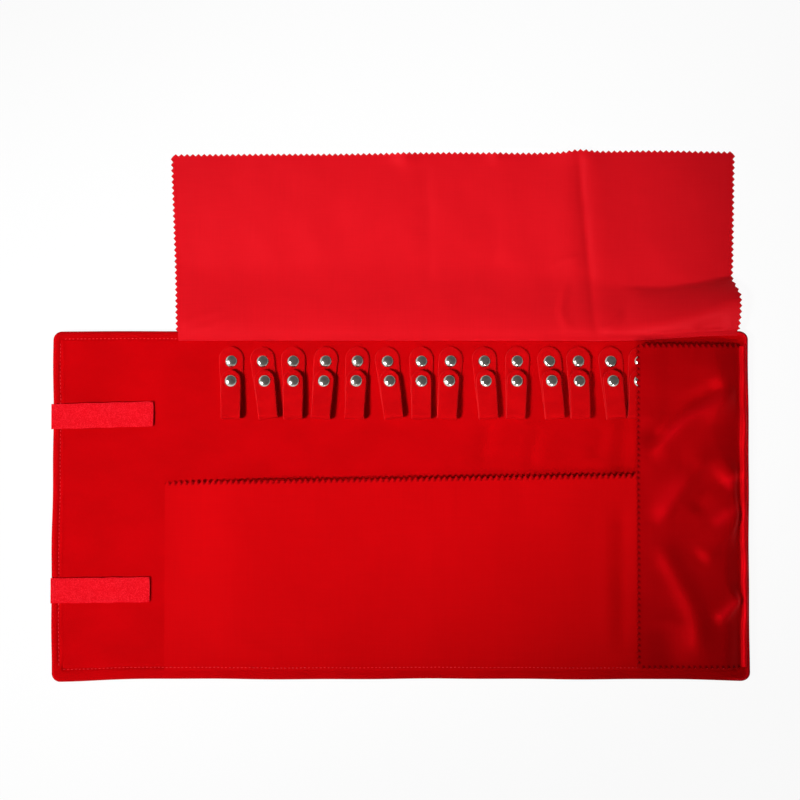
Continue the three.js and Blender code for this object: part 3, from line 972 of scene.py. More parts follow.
    def top(self, x: Array, y: Array, depth: Array) -> Array:
        """Works out the upper face.

        Args:
            x: Places along the pad.
            y: Places across the pad.
            depth: How far in from the edge they are.

        Returns:
            The height at each place.
        """
        round_in = 1.0 - np.clip(depth / self.rim_round, 0.0, 1.0)
        rim = self.middle + (self.rim_top - self.middle) * np.sqrt(1.0 - round_in**2)
        from_low = np.where(np.abs(x) < self.half_length - self.lower_inset, y + self.half_depth, depth)
        is_lower = y + self.half_depth < self.lower_band
        inset = np.where(is_lower, from_low - self.lower_inset, depth - self.stitch_inset)
        groove = (self.groove_depth + self.groove_gain.at(x)) * bell(inset, self.groove_width)
        pucker = self.pucker.lift(x, y) * bell(inset, self.pucker_width) * self.pucker_ramp.at(depth)
        inside = smooth((depth - self.stitch_inset) / self.lining_run)
        held = np.minimum(self.lining_top - rim, 0.0) * inside
        soft = self.softness.lift(x, y) * self.soft_ramp.at(depth) + lift_of(self.forms(), x, y)
        most = self.highest + self.bare_rise.at(x)
        bead = self.bead_height * self.bead(x, depth)
        return rim + bead + held - groove + pucker + np.clip(soft, self.deepest, most)

    def bead(self, x: Array, depth: Array) -> Array:
        """Returns the share of the raised pile on the edge at the right end."""
        return self.bead_across.at(depth) * self.bead_along.at(x)

    def under(self, x: Array, y: Array, depth: Array) -> Array:
        """Works out the underside, with the recesses of the hook patches.

        Args:
            x: Places along the pad.
            y: Places across the pad.
            depth: How far in from the edge they are.

        Returns:
            The height at each place.
        """
        round_in = 1.0 - np.clip(depth / self.under_round, 0.0, 1.0)
        height = self.middle * (1.0 - np.sqrt(1.0 - round_in**2))
        along = (x > self.patch_x[0] - self.patch_gap) & (x < self.patch_x[1] + self.patch_gap)
        for middle in self.patch_y:
            recess = along & (np.abs(y - middle) < self.patch_half + self.patch_gap)
            height = np.where(recess, self.patch_depth, height)
        return height

    def grid(self) -> tuple[Array, Array, Array]:
        """Sets out the grid of the pad, with its corners pulled round.

        Returns:
            Places along and across the pad, and how far in from the edge they are.
        """
        lines_x = [end + step for end in self.patch_x for step in self.patch_lines]
        ends_y = [middle + side * self.patch_half for middle in self.patch_y for side in (-1, 1)]
        lines_y = [end + step for end in ends_y for step in self.patch_lines]
        gx, gy = np.meshgrid(self.lines(self.half_length, lines_x), self.lines(self.half_depth, lines_y))
        cx = np.clip(gx, self.corner - self.half_length, self.half_length - self.corner)
        cy = np.clip(gy, self.corner - self.half_depth, self.half_depth - self.corner)
        vx, vy = gx - cx, gy - cy
        far = np.maximum(np.abs(vx), np.abs(vy))
        scale = far / np.maximum(np.hypot(vx, vy), 1e-9)
        flat = np.minimum(self.half_length - np.abs(gx), self.half_depth - np.abs(gy))
        depth = np.where(far > 0, self.corner - far, flat)
        return np.where(far > 0, cx + vx * scale, gx), np.where(far > 0, cy + vy * scale, gy), depth

    def build(self) -> None:
        """Builds the padded mat as one closed form."""
        x, y, depth = self.grid()
        moved = self.drift(x, y)
        upper = np.stack([*moved, self.top(x, y, depth)], axis=-1)
        lower = np.stack([*moved, self.under(x, y, depth)], axis=-1)
        inner = np.zeros(x.shape, dtype=bool)
        inner[1:-1, 1:-1] = True
        below = np.where(inner.ravel(), x.size - 1 + np.cumsum(inner), np.arange(x.size))
        faces = ring_faces(*x.shape, closed=False)
        faces += [tuple(int(below[i]) for i in reversed(face)) for face in faces]
        shell = Shell()
        shell.add(np.concatenate([upper.reshape(-1, 3), lower[inner]]), faces)
        piece = shell.piece("padded_mat", VELVET, self.sharp)
        # The raised pile at the right end also gets a painted highlight, by the same share as its height.
        mark(piece, CUT_EDGE_AND_PAINTED_LIGHT, np.concatenate([self.bead(x, depth).ravel(), np.zeros(inner.sum())]))
        panels, layers = ("main", "closing"), ("outer_cover", "foam", "lining")
        dressed(piece, [f"{panel}_{layer}" for panel in panels for layer in layers])
        self.bend(piece)

    def bend(self, piece: bpy.types.Object) -> None:
        """Works out the ends of the closing end's fold, which are not used, and bakes the piece's place into
        its mesh.
        """
        start = self.fold_x + self.fold_start
        ends = (metres(x, 0, self.rim_top) for x in (start, start - self.fold_run))
        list(ends)
        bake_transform(piece)

    def stitches(self) -> None:
        """Sews the topstitching along the edge."""
        left = self.stitch_inset - self.half_length
        low, high = self.lower_inset - self.half_depth, self.half_depth - self.upper_inset
        draw = np.random.default_rng(self.stitch_seed)
        shell = Shell()
        for (ax, ay), (bx, by) in (
            ((left, low), (left, high)),
            ((left, high), (self.flap_start, high)),
            ((left, low), (self.stitch_stop, low)),
        ):
            length = math.hypot(bx - ax, by - ay)
            for start in np.arange(self.stitch_pitch, length - self.stitch_pitch, self.stitch_pitch):
                span = self.stitch_length + draw.uniform(-self.stitch_change, self.stitch_change)
                slip = draw.uniform(-self.stitch_slip, self.stitch_slip)
                t = (start + span * np.linspace(0.0, 1.0, len(self.stitch_arch))) / length
                x = ax + (bx - ax) * t + (slip if bx == ax else 0.0)
                y = ay + (by - ay) * t + (slip if by == ay else 0.0)
                self.stitch(shell, x, y, by == ay == low)
        piece = shell.piece("topstitching", STITCHING)
        dressed(piece, [])
        self.bend(piece)

    def stitch(self, shell: Shell, x: Array, y: Array, is_lower: bool) -> None:
        """Adds one stitch.

        Args:
            shell: What it is added to.
            x: Places of its points along the pad.
            y: Places of its points across the pad.
            is_lower: Whether it is in the lower run, which goes over the pocket.
        """
        pocket = Pocket.sewn * smooth(x - Pocket.left) * is_lower
        ground = np.maximum(self.top(x, y, np.full(len(x), self.stitch_inset)), pocket)
        line = np.stack([*self.drift(x, y), ground + np.array(self.stitch_arch)], axis=-1)
        shell.add_tube(line, np.array(self.stitch_radii))


@dataclass
class TopFlap:
    """The thin cloth along the pad's top edge, laid open on the table."""

    seam: float = 135.0
    left: float = -177.2
    right: float = 273.2
    length: float = 147.0
    flat: Point = (454.0, 158.0)
    lean: float = 5.6
    pitch: float = 4.6
    tooth: float = 1.9
    thickness: float = 0.42
    table: float = 0.95

    # Root: a lap under the seam, a tight fold and a flat strip
    root: float = 9.12
    lap: tuple[float, ...] = (7.0, 4.5, 2.0, 1.0)
    fold_radius: float = 0.5
    fold_run: float = -2.3
    strip: tuple[float, ...] = (-1.7, 0.4, 2.4)
    root_run: float = 4.0
    bend: Point = (-0.5, 6.5)

    # How the flap comes down to the table: gently at the left, from a raised fold at the right
    slope_start: float = 4.6
    slope_x: Point = (60.0, 176.0)
    slope_runs: Point = (57.0, 42.0)
    crest_x: tuple[float, ...] = (166.0, 180.0, 191.0, 212.0, 240.0, 268.0)
    crest_runs: tuple[float, ...] = (7.0, 8.0, 10.0, 12.0, 19.0, 29.0)
    crest_lifts: tuple[float, ...] = (0.2, 0.8, 2.2, 3.8, 5.8, 8.4)
    valley_runs: tuple[float, ...] = (40.0, 42.0, 42.0, 41.0, 45.0, 50.0)
    crest_blend: float = 30.0
    steep_belly: float = 0.6
    steep_foot: float = 0.12
    ridge_back: float = 1.0
    wrinkle_start: Ramp = Ramp(1.0, 7.0)
    wrinkle_shares: Point = (0.45, 0.55)
    flat_rise: float = 0.12

    # The long crease, between two soft banks
    crease_x: float = 157.6
    crease_lean: float = 0.09
    crease_heights: Point = (1.6, 1.4)
    crease_width: float = 6.4
    bank_width: float = 21.0
    crease_out: Ramp = Ramp(8.0, 60.0)
    crease_foot: Ramp = Ramp(-2.0, 12.0)

    # The free edge, with its curls, its lean and its waves, and the drift of the right edge
    curls: tuple[Hump, ...] = (Hump(4.0, 9.0, 2.2), Hump(78.0, 6.0, 1.6), Hump(146.0, 11.0, 2.6))
    curl_run: float = 13.0
    edge_out: Ramp = Ramp(40.0, 100.0)
    edge_lean: float = 3.2
    edge_back: float = 0.6
    edge_wave: float = 0.8
    edge_turn: float = 17.0
    corner_along: Hump = Hump(145.0, 10.0, 1.6)
    corner_out: Ramp = Ramp(110.0, 35.0)
    kink_along: Ramp = Ramp(0.8, 0.2)
    edge_runs: tuple[float, ...] = (0.0, 10.0, 18.0, 34.0, 46.0, 60.0, 100.0, 147.0)
    edge_shifts: tuple[float, ...] = (-2.6, -1.7, -1.0, -0.6, -4.6, -3.4, -1.2, 1.4)

    # How the seam is pulled in at the crease, and out at the raised fold
    crease_pull: Hump = Hump(157.0, 12.0, 0.8)
    pull_width: float = 3.0
    crest_pull: Ramp = Ramp(180.0, 84.0, 4.2)
    crest_out: Ramp = Ramp(-1.0, 9.0)

    def forms(self) -> list[Form]:
        """Lists the flap's wrinkles."""
        return [
            Ripple(11, 0.16, 28.0, 95.0),
            Ripple(12, 0.05, 8.0, 20.0),
            Fold(((22.0, 290.0), (24.0, 220.0), (27.0, 150.0)), -0.35, 4.0, 9.0),
            Fold(((76.0, 288.0), (78.0, 230.0), (80.0, 160.0)), -0.3, 5.0, 9.0),
            Fold(((-172.0, 137.0), (-150.0, 145.0), (-128.0, 151.0)), 1.3, 3.0, 4.0),
            Fold(((-178.0, 145.0), (-160.0, 151.0), (-138.0, 158.0)), 1.1, 3.0, 4.0),
            Fold(((140.0, 135.0), (130.0, 152.0), (131.0, 168.0), (136.0, 182.0)), 1.6, 3.0, 4.5),
            Fold(((118.0, 190.0), (132.0, 197.0), (148.0, 200.0)), 0.6, 3.0, 3.0),
            Fold(((158.0, 134.0), (170.0, 145.0), (180.0, 158.0)), 2.4, 3.0, 3.5, 0.35),
            Fold(((-80.0, 176.0), (-40.0, 168.0), (0.0, 172.0)), -0.4, 8.0, 8.0),
            Fold(((236.0, 137.0), (250.0, 144.0), (264.0, 143.0)), -3.6, 6.0, 6.0),
        ]

    def crease(self, x: Array, run: Array) -> Array:
        """Works out the banks of the long crease.

        Args:
            x: Places along the seam.
            run: Distance out from the seam.

        Returns:
            The height at each place.
        """
        off = np.abs(x - (self.crease_x - self.crease_lean * run))
        bank = (1.0 - np.exp(-off / self.crease_width)) * bell(off, self.bank_width)
        near, gain = self.crease_heights
        return (near + gain * self.crease_out.at(run)) * bank * self.crease_foot.at(run)

    def height(self, x: Array, run: Array) -> Array:
        """Works out the flap's upper face.

        Args:
            x: Places along the seam.
            run: Distance out from the seam.

        Returns:
            The height at each place.
        """
        profiles = (self.crest_runs, self.crest_lifts, self.valley_runs)
        crest, lift, valley = (np.interp(x, self.crest_x, profile) for profile in profiles)
        far = np.clip((run - crest) / (valley - crest), 0.0, 1.0)
        steep = (1.0 - far) * (1.0 + self.steep_belly * far) * smooth((1.0 - far) / self.steep_foot)
        gentle = 1.0 - smooth((run - self.slope_start) / np.interp(x, self.slope_x, self.slope_runs))
        at_crest = smooth((x - self.crest_x[0]) / self.crest_blend)
        down = np.clip(1.0 - gentle + (gentle - steep) * at_crest, 0.0, 1.0)
        ridge = lift * smooth((run + self.ridge_back) / (crest + self.ridge_back))
        base = self.root + ridge + (self.table - self.root - ridge) * down
        wrinkles = lift_of(self.forms(), x, self.seam + run) * self.wrinkle_start.at(run)
        raised, gain = self.wrinkle_shares
        curl = sum(hump.at(x) for hump in self.curls)
        rim = curl * smooth((run - self.length + self.curl_run) / self.curl_run)
        drape = base + self.crease(x, run) + wrinkles * (raised + gain * down)
        return drape + rim + self.flat_rise * down

    def out(self, x: Array, u: Array, run: Array) -> Array:
        """Works out how far out the cloth lies, with its uneven free edge and the pull of its folds.

        Args:
            x: Places along the seam.
            u: Share of the seam's length, from the left.
            run: Distance out from the seam.

        Returns:
            The place across the roll of each point.
        """
        wave = self.edge_wave * np.sin(u * self.edge_turn) * u
        edge = self.edge_out.at(run) * (self.edge_lean * u - self.edge_back + wave)
        corner = self.corner_along.at(x) * self.corner_out.at(run)
        pull_in = self.crease_pull.at(x) * bell(run, self.pull_width)
        pull_out = self.crest_pull.at(x) * (1.0 - self.crest_out.at(run))
        return self.seam + run + edge + corner - pull_in + pull_out

    def build(self) -> None:
        """Builds the flap with its folded root and pinked edges."""
        free = self.length - self.root_run
        curl = math.pi * np.linspace(-0.5, 0.5, 7)
        bend_runs = self.fold_run - self.fold_radius * np.cos(curl)
        bend_lifts = self.root - self.fold_radius + self.fold_radius * np.sin(curl)
        lap_lifts = [self.root - 2 * self.fold_radius] * len(self.lap)
        root_lifts = np.concatenate([lap_lifts, bend_lifts, [self.root] * len(self.strip)])
        across = pinked_steps(self.right - self.left, self.pitch)
        free_runs = pinked_steps(free, self.pitch) * free + self.root_run
        runs = np.concatenate([self.lap, bend_runs, self.strip, free_runs])
        u, run = np.meshgrid(across, runs)
        kink = np.interp(run, self.edge_runs, self.edge_shifts) * self.kink_along.at(u)
        x = self.left + (self.right - self.left) * u - self.lean * (run / self.length) + kink
        z = self.height(x, run)
        z[: len(root_lifts)] = root_lifts[:, None]
        y = self.out(x, u, run)
        tips = tooth_tips(len(runs))
        tips[: len(root_lifts)] = False
        x[tips, 0] -= self.tooth
        x[tips, -1] += self.tooth
        y[-1, tooth_tips(len(across))] += self.tooth
        piece = cloth("top_flap_cloth", FLAP_SATIN, (x, y, z), self.thickness)
        metres(*self.flat)
        dressed(piece, ["top_flap"])
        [metres(0, self.seam + shift, 9) for shift in self.bend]
        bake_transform(piece)


@dataclass
class SideFlap:
    """The thin cloth along the pad's right edge, folded in over the pad."""

    seam: float = 274.0
    free: float = 190.0
    half: float = 128.0
    flat: Point = (260.0, 98.0)
    pitch: float = 4.6
    tooth: float = 1.9
    thickness: float = 0.42
    level: float = 16.4
    lowest: float = 9.0

    # Root: a lap under the seam, a round roll and the slope behind it
    under: float = 8.1
    lap: tuple[float, ...] = (-7.0, -3.0)
    roll: float = 1.5
    roll_shift: float = 1.8
    slope: tuple[float, ...] = (1.0, 0.2, -0.7, -1.7)
    slope_falls: tuple[float, ...] = (0.1, 0.45, 1.0, 1.7)
    root_run: float = 3.0
    bend: Point = (0.8, -6.5)
    puff: Ripple = Ripple(35, 0.8, 28.0, 60.0)
    puff_up: Point = (-0.3, 1.6)
    puff_out: Point = (-0.6, 1.2)
    puff_lean: float = 0.8
    puff_width: float = 4.0
    puff_start: Ramp = Ramp(0.3, 1.5)

    # Where the raised cloth lies lower or higher than its level, along the seam (y) and across it (x)
    belly: float = 0.5
    lower_drop: Ramp = Ramp(69.2, -46.5, 0.8)
    lower_rise: Ramp = Ramp(-30.0, -20.0, 0.6)
    head_drop: Ramp = Ramp(107.3, 22.0, 1.6)
    bulge_y: Ramp = Ramp(56.0, 14.0)
    bulge_x: Ramp = Ramp(218.0, -16.0)
    strap_y: Ramp = Ramp(62.0, 8.0)
    strap_x: Ramp = Ramp(208.0, -8.0)
    strap_hollow: float = 0.6
    free_hollow: float = 8.0
    seam_run: float = 6.0
    lowest_rise: float = 0.2

    # Painted highlight on the roll at the seam
    highlight_width: float = 2.0
    highlight_start: float = 0.5
    highlight_least: float = 0.4
    highlight_gain: Ramp = Ramp(16.0, -36.0, 0.5)

    # The uneven line where the raised cloth starts to come down to the seam
    foot: float = 8.9
    foot_inset: float = 2.2
    shortest_fall: float = 3.6
    crest_blur: float = 3.5
    crest_y: tuple[float, ...] = (
        -128.0, -110.0, -94.0, -86.0, -80.0, -75.0, -70.0, -62.0, -50.0, -36.0, -20.0,
        -8.0, 4.0, 16.0, 26.0, 36.0, 52.0, 66.0, 80.0, 92.0, 104.0, 128.0,
    )
    crest_x: tuple[float, ...] = (
        260.0, 260.0, 260.0, 262.0, 267.0, 270.0, 265.0, 260.0, 259.0, 260.0, 264.0,
        269.0, 267.0, 265.0, 268.0, 258.0, 250.0, 248.0, 254.0, 260.0, 256.0, 250.0,
    )

    def forms(self) -> list[Form]:
        """Lists the flap's folds, where the cloth is pushed in from the seam."""
        hollow = ((264.0, 100.0), (246.0, 91.0), (228.0, 82.0), (209.0, 66.0), (195.0, 46.0))
        upper = ((252.0, 80.5), (233.0, 72.0), (215.0, 55.0))
        lower = ((214.6, -44.0), (225.6, -64.6), (234.8, -85.0), (238.5, -103.0))
        return [
            Ripple(31, 0.16, 25.0, 80.0),
            Fold(hollow, -2.8, 6.0, 6.0, 0.2),
            Fold(((262.0, 86.0), *upper[1:], (196.0, 32.0)), -2.0, 26.0, 26.0, 0.3),
            Fold(((250.0, 40.0), (224.0, 12.0), (202.0, -18.0)), -0.9, 24.0, 24.0, 0.3),
            Fold(((274.0, 94.0), *upper, (200.0, 35.0)), 3.4, 10.0, 5.0, 0.2),
            Fold(((256.0, 44.0), (240.0, 32.0), (220.0, 6.0), (203.0, -17.0)), 2.8, 4.5, 12.0, 0.25),
            Fold(((262.0, 26.0), (246.0, 12.0), (232.0, -6.0)), -2.4, 7.0, 8.0),
            Fold(((240.0, -46.0), (250.0, -34.0), (262.0, -19.0), (275.0, -4.0)), 2.4, 12.0, 5.0, 0.2),
            Fold(((206.0, -24.0), *lower, (237.6, -126.0)), 2.0, 8.0, 8.0, 0.2),
            Fold(((212.0, -90.0), (213.0, -108.0), (214.0, -134.0)), -1.6, 13.0, 12.0),
            Fold(((280.0, -70.0), (266.0, -80.0), (251.0, -95.0)), 2.6, 3.0, 7.0, 0.25),
        ]

    def painted_highlights(self) -> list[Form]:
        """Lists where the crests of the folds get a painted highlight."""
        return [
            Fold(((277.0, -69.0), (267.0, -77.0), (252.0, -91.0)), 0.75, 2.6, 4.0),
            Fold(((268.0, 92.0), (240.0, 77.0), (222.0, 64.0), (204.0, 44.0)), 0.35, 4.0, 5.0),
            Fold(((277.0, 26.0), (265.0, 21.0), (262.0, 10.0)), 0.5, 3.5, 3.5),
            Fold(((276.0, 2.0), (262.0, -6.0), (246.0, -17.0)), 0.5, 4.0, 5.0),
            Fold(((230.0, 28.0), (216.0, 6.0), (202.0, -16.0)), 0.25, 4.0, 8.0),
        ]

    def crest(self, y: Array) -> Array:
        """Returns the softened line where the raised cloth starts to come down to the seam."""
        shifts = np.linspace(-self.crest_blur, self.crest_blur, 8)
        return sum(np.interp(y + shift, self.crest_y, self.crest_x) for shift in shifts) / len(shifts)

    def height(self, x: Array, y: Array) -> Array:
        """Works out the flap's upper face.

        Args:
            x: Places from the seam to the free edge.
            y: Places along the seam.

        Returns:
            The height at each place.
        """
        crest = self.crest(y)
        end = np.maximum(self.seam - self.foot_inset, crest + self.shortest_fall)
        past = np.clip((x - crest) / (end - crest), 0.0, 1.0)
        up = (1.0 - past) * (1.0 + self.belly * past)
        low = self.lower_drop.at(y) - self.lower_rise.at(y)
        bulge = self.bulge_y.at(y) * self.bulge_x.at(x)
        base = self.foot + (self.level + bulge - low - self.head_drop.at(y) - self.foot) * up
        over_strap = self.strap_y.at(y) * self.strap_x.at(x)
        deepest = -self.strap_hollow - self.free_hollow * (1.0 - over_strap)
        wrinkles = np.maximum(lift_of(self.forms(), x, y), deepest)
        from_seam = smooth((self.seam - x) / self.seam_run)
        return np.maximum(base + wrinkles * from_seam, self.lowest + self.lowest_rise * up)

    def fold_highlight_share(self, x: Array, y: Array, z: Array) -> Array:
        """Works out the share of the painted highlight on the roll at the seam and the crests of the folds.

        Args:
            x: Places from the seam to the free edge.
            y: Places along the seam.
            z: Heights of the cloth.

        Returns:
            The share of the painted highlight at each place.
        """
        rolled = bell(x - self.seam - self.roll_shift, self.highlight_width)
        rolled = rolled * smooth(z - self.under - self.highlight_start)
        painted_highlights = rolled * (self.highlight_least + self.highlight_gain.at(y)) + lift_of(self.painted_highlights(), x, y)
        return np.clip(painted_highlights, 0.0, 1.0)

    def build(self) -> None:
        """Builds the flap with its rounded fold at the seam and pinked edges."""
        start = self.seam - self.root_run
        curl = math.pi * np.linspace(-0.5, 0.5, 8)
        bend_x = self.seam + self.roll_shift + self.roll * np.cos(curl)
        bend_z = self.under + self.roll * (1.0 + np.sin(curl))
        root_z = np.concatenate([[self.under] * len(self.lap), bend_z])
        slope_z = self.under + 2.0 * self.roll - np.array(self.slope_falls)
        inward = start - pinked_steps(start - self.free, self.pitch) * (start - self.free)
        lap, slope = (self.seam + np.array(shifts) for shifts in (self.lap, self.slope))
        places = np.concatenate([lap, bend_x, slope, inward])
        along = pinked_steps(2 * self.half, self.pitch) * 2 * self.half - self.half
        y, x = np.meshgrid(along, places)
        z = self.height(x, y)
        rolled, first = len(root_z), len(root_z) + len(slope)
        z[:rolled] = root_z[:, None]
        z[rolled:first] = np.maximum(z[rolled:first], slope_z[:, None])
        puff = self.puff.lift(np.zeros_like(y), y)
        near = bell(self.seam - x, self.puff_width) * self.puff_start.at(z - self.under)
        z = z + np.clip(puff, *self.puff_up) * near
        x = x + self.puff_lean * np.clip(puff, *self.puff_out) * near
        side_tips, end_tips = tooth_tips(len(places)), tooth_tips(len(along))
        side_tips[:first] = False
        y[side_tips, 0] -= self.tooth
        y[side_tips, -1] += self.tooth
        x[-1, end_tips] -= self.tooth
        piece = cloth("side_flap_cloth", SIDE_SATIN, (x, y, z), self.thickness)
        # Painted shade in the notches of the pinked edges, and a painted highlight on the roll at the seam
        # and the crests of folds.
        notch_shade = np.zeros(x.shape)
        notch_shade[-1, ~end_tips] = 1.0
        notch_shade[first:, [0, -1]] = ~side_tips[first:, None]
        mark(piece, CUT_EDGE_AND_PAINTED_LIGHT, notch_shade)
        mark(piece, PAINTED_FOLD_HIGHLIGHT, self.fold_highlight_share(x, y, z))
        metres(*self.flat)
        dressed(piece, ["side_flap"])
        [metres(self.seam + shift, 0, 9) for shift in self.bend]
        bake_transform(piece)


@dataclass
class Pocket:
    """The pocket's cloth, sewn to the pad at three sides, with a pinked mouth that stands off the lining."""

    left: float = -187.6
    right: float = 264.0
    bottom: float = -131.0
    left_depth: float = 149.0
    right_depth: float = 156.0
    flat: Point = (452.0, 156.0)
    sewn: float = 8.45
    lift: float = 5.4
    left_rise: float = 62.0
    right_rise: float = 75.0
    bottom_rise: float = 55.0
    pitch: float = 4.6
    tooth: float = 2.3
    thickness: float = 0.45
    bottom_rows: tuple[float, ...] = (0.0, 0.006, 0.014, 0.026, 0.042)
    first_row: float = 0.06
    rows: int = 62
    side_slack: float = 14.0
    bottom_slack: Ramp = Ramp(2.0, 16.0)
    least_gap: float = 0.1
    sag_range: Point = (-0.8, 0.4)
    pucker_width: float = 5.0
    pucker_start: Ramp = Ramp(0.0, 2.0)
    sag: Ripple = Ripple(45, 0.5, 60.0, 130.0)
    pucker: Ripple = Ripple(47, 0.12, 5.0, 12.0)

    def forms(self) -> list[Form]:
        """Lists the pocket's soft waves and the gathers near the side flap."""
        return [
            Ripple(41, 0.3, 70.0, 200.0),
            Ripple(42, 0.06, 14.0, 40.0),
            Fold(((163.0, 8.0), (164.0, -50.0), (166.0, -124.0)), 1.0, 7.0, 7.0),
            Fold(((178.0, 10.0), (178.0, -50.0), (178.0, -122.0)), -1.5, 6.0, 6.0, 0.2),
            Fold(((160.0, -128.0), (176.0, -122.0), (196.0, -112.0)), 0.8, 3.0, 4.0),
            Fold(((172.0, -130.0), (186.0, -124.0), (204.0, -118.0)), 0.7, 2.5, 3.0),
            Fold(((-150.0, -95.0), (-118.0, -112.0), (-84.0, -124.0)), 0.7, 7.0, 9.0),
            Fold(((20.0, 14.0), (26.0, -40.0), (22.0, -110.0)), 0.5, 9.0, 9.0),
        ]

    def height(self, x: Array, y: Array, v: Array) -> Array:
        """Works out the pocket's outer face.

        Args:
            x: Places along the bottom seam.
            y: Places up from the bottom seam.
            v: Share of the pocket's depth, from the bottom.

        Returns:
            The height at each place.
        """
        from_left, from_right, up = x - self.left, self.right - x, y - self.bottom
        side = smooth(from_left / self.left_rise) * smooth(from_right / self.right_rise)
        sag = np.clip(self.sag.lift(x, np.zeros_like(x)) * smooth(v) * side, *self.sag_range)
        left, right = smooth(from_left / self.side_slack), smooth(from_right / self.side_slack)
        free = left * self.bottom_slack.at(up) * right
        wrinkles = lift_of(self.forms(), x, y) * free
        pucker = self.pucker.lift(x, y) * bell(up, self.pucker_width) * self.pucker_start.at(up)
        lifted = self.sewn + self.lift * side * smooth(up / self.bottom_rise)
        return np.maximum(lifted + wrinkles + sag + pucker, self.sewn - self.least_gap)

    def build(self) -> None:
        """Builds the pocket's cloth."""
        across = pinked_steps(self.right - self.left, self.pitch)
        upper_rows = np.linspace(self.first_row, 1.0, self.rows)
        u, v = np.meshgrid(across, np.concatenate([self.bottom_rows, upper_rows]))
        x = self.left + (self.right - self.left) * u
        y = self.bottom + (self.left_depth + (self.right_depth - self.left_depth) * u) * v
        z = self.height(x, y, v)
        tips = tooth_tips(len(across))
        y[-1, tips] += self.tooth
        piece = cloth("pocket_cloth_panel", POCKET_CLOTH, (x, y, z), self.thickness)
        # Painted shade in the notches of the pinked mouth.
        notch_shade = np.zeros(x.shape)
        notch_shade[-1, ~tips] = 1.0
        mark(piece, CUT_EDGE_AND_PAINTED_LIGHT, notch_shade)
        metres(*self.flat)
        dressed(piece, ["pocket_panel", "pocket_base"])
        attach(piece, "pad")


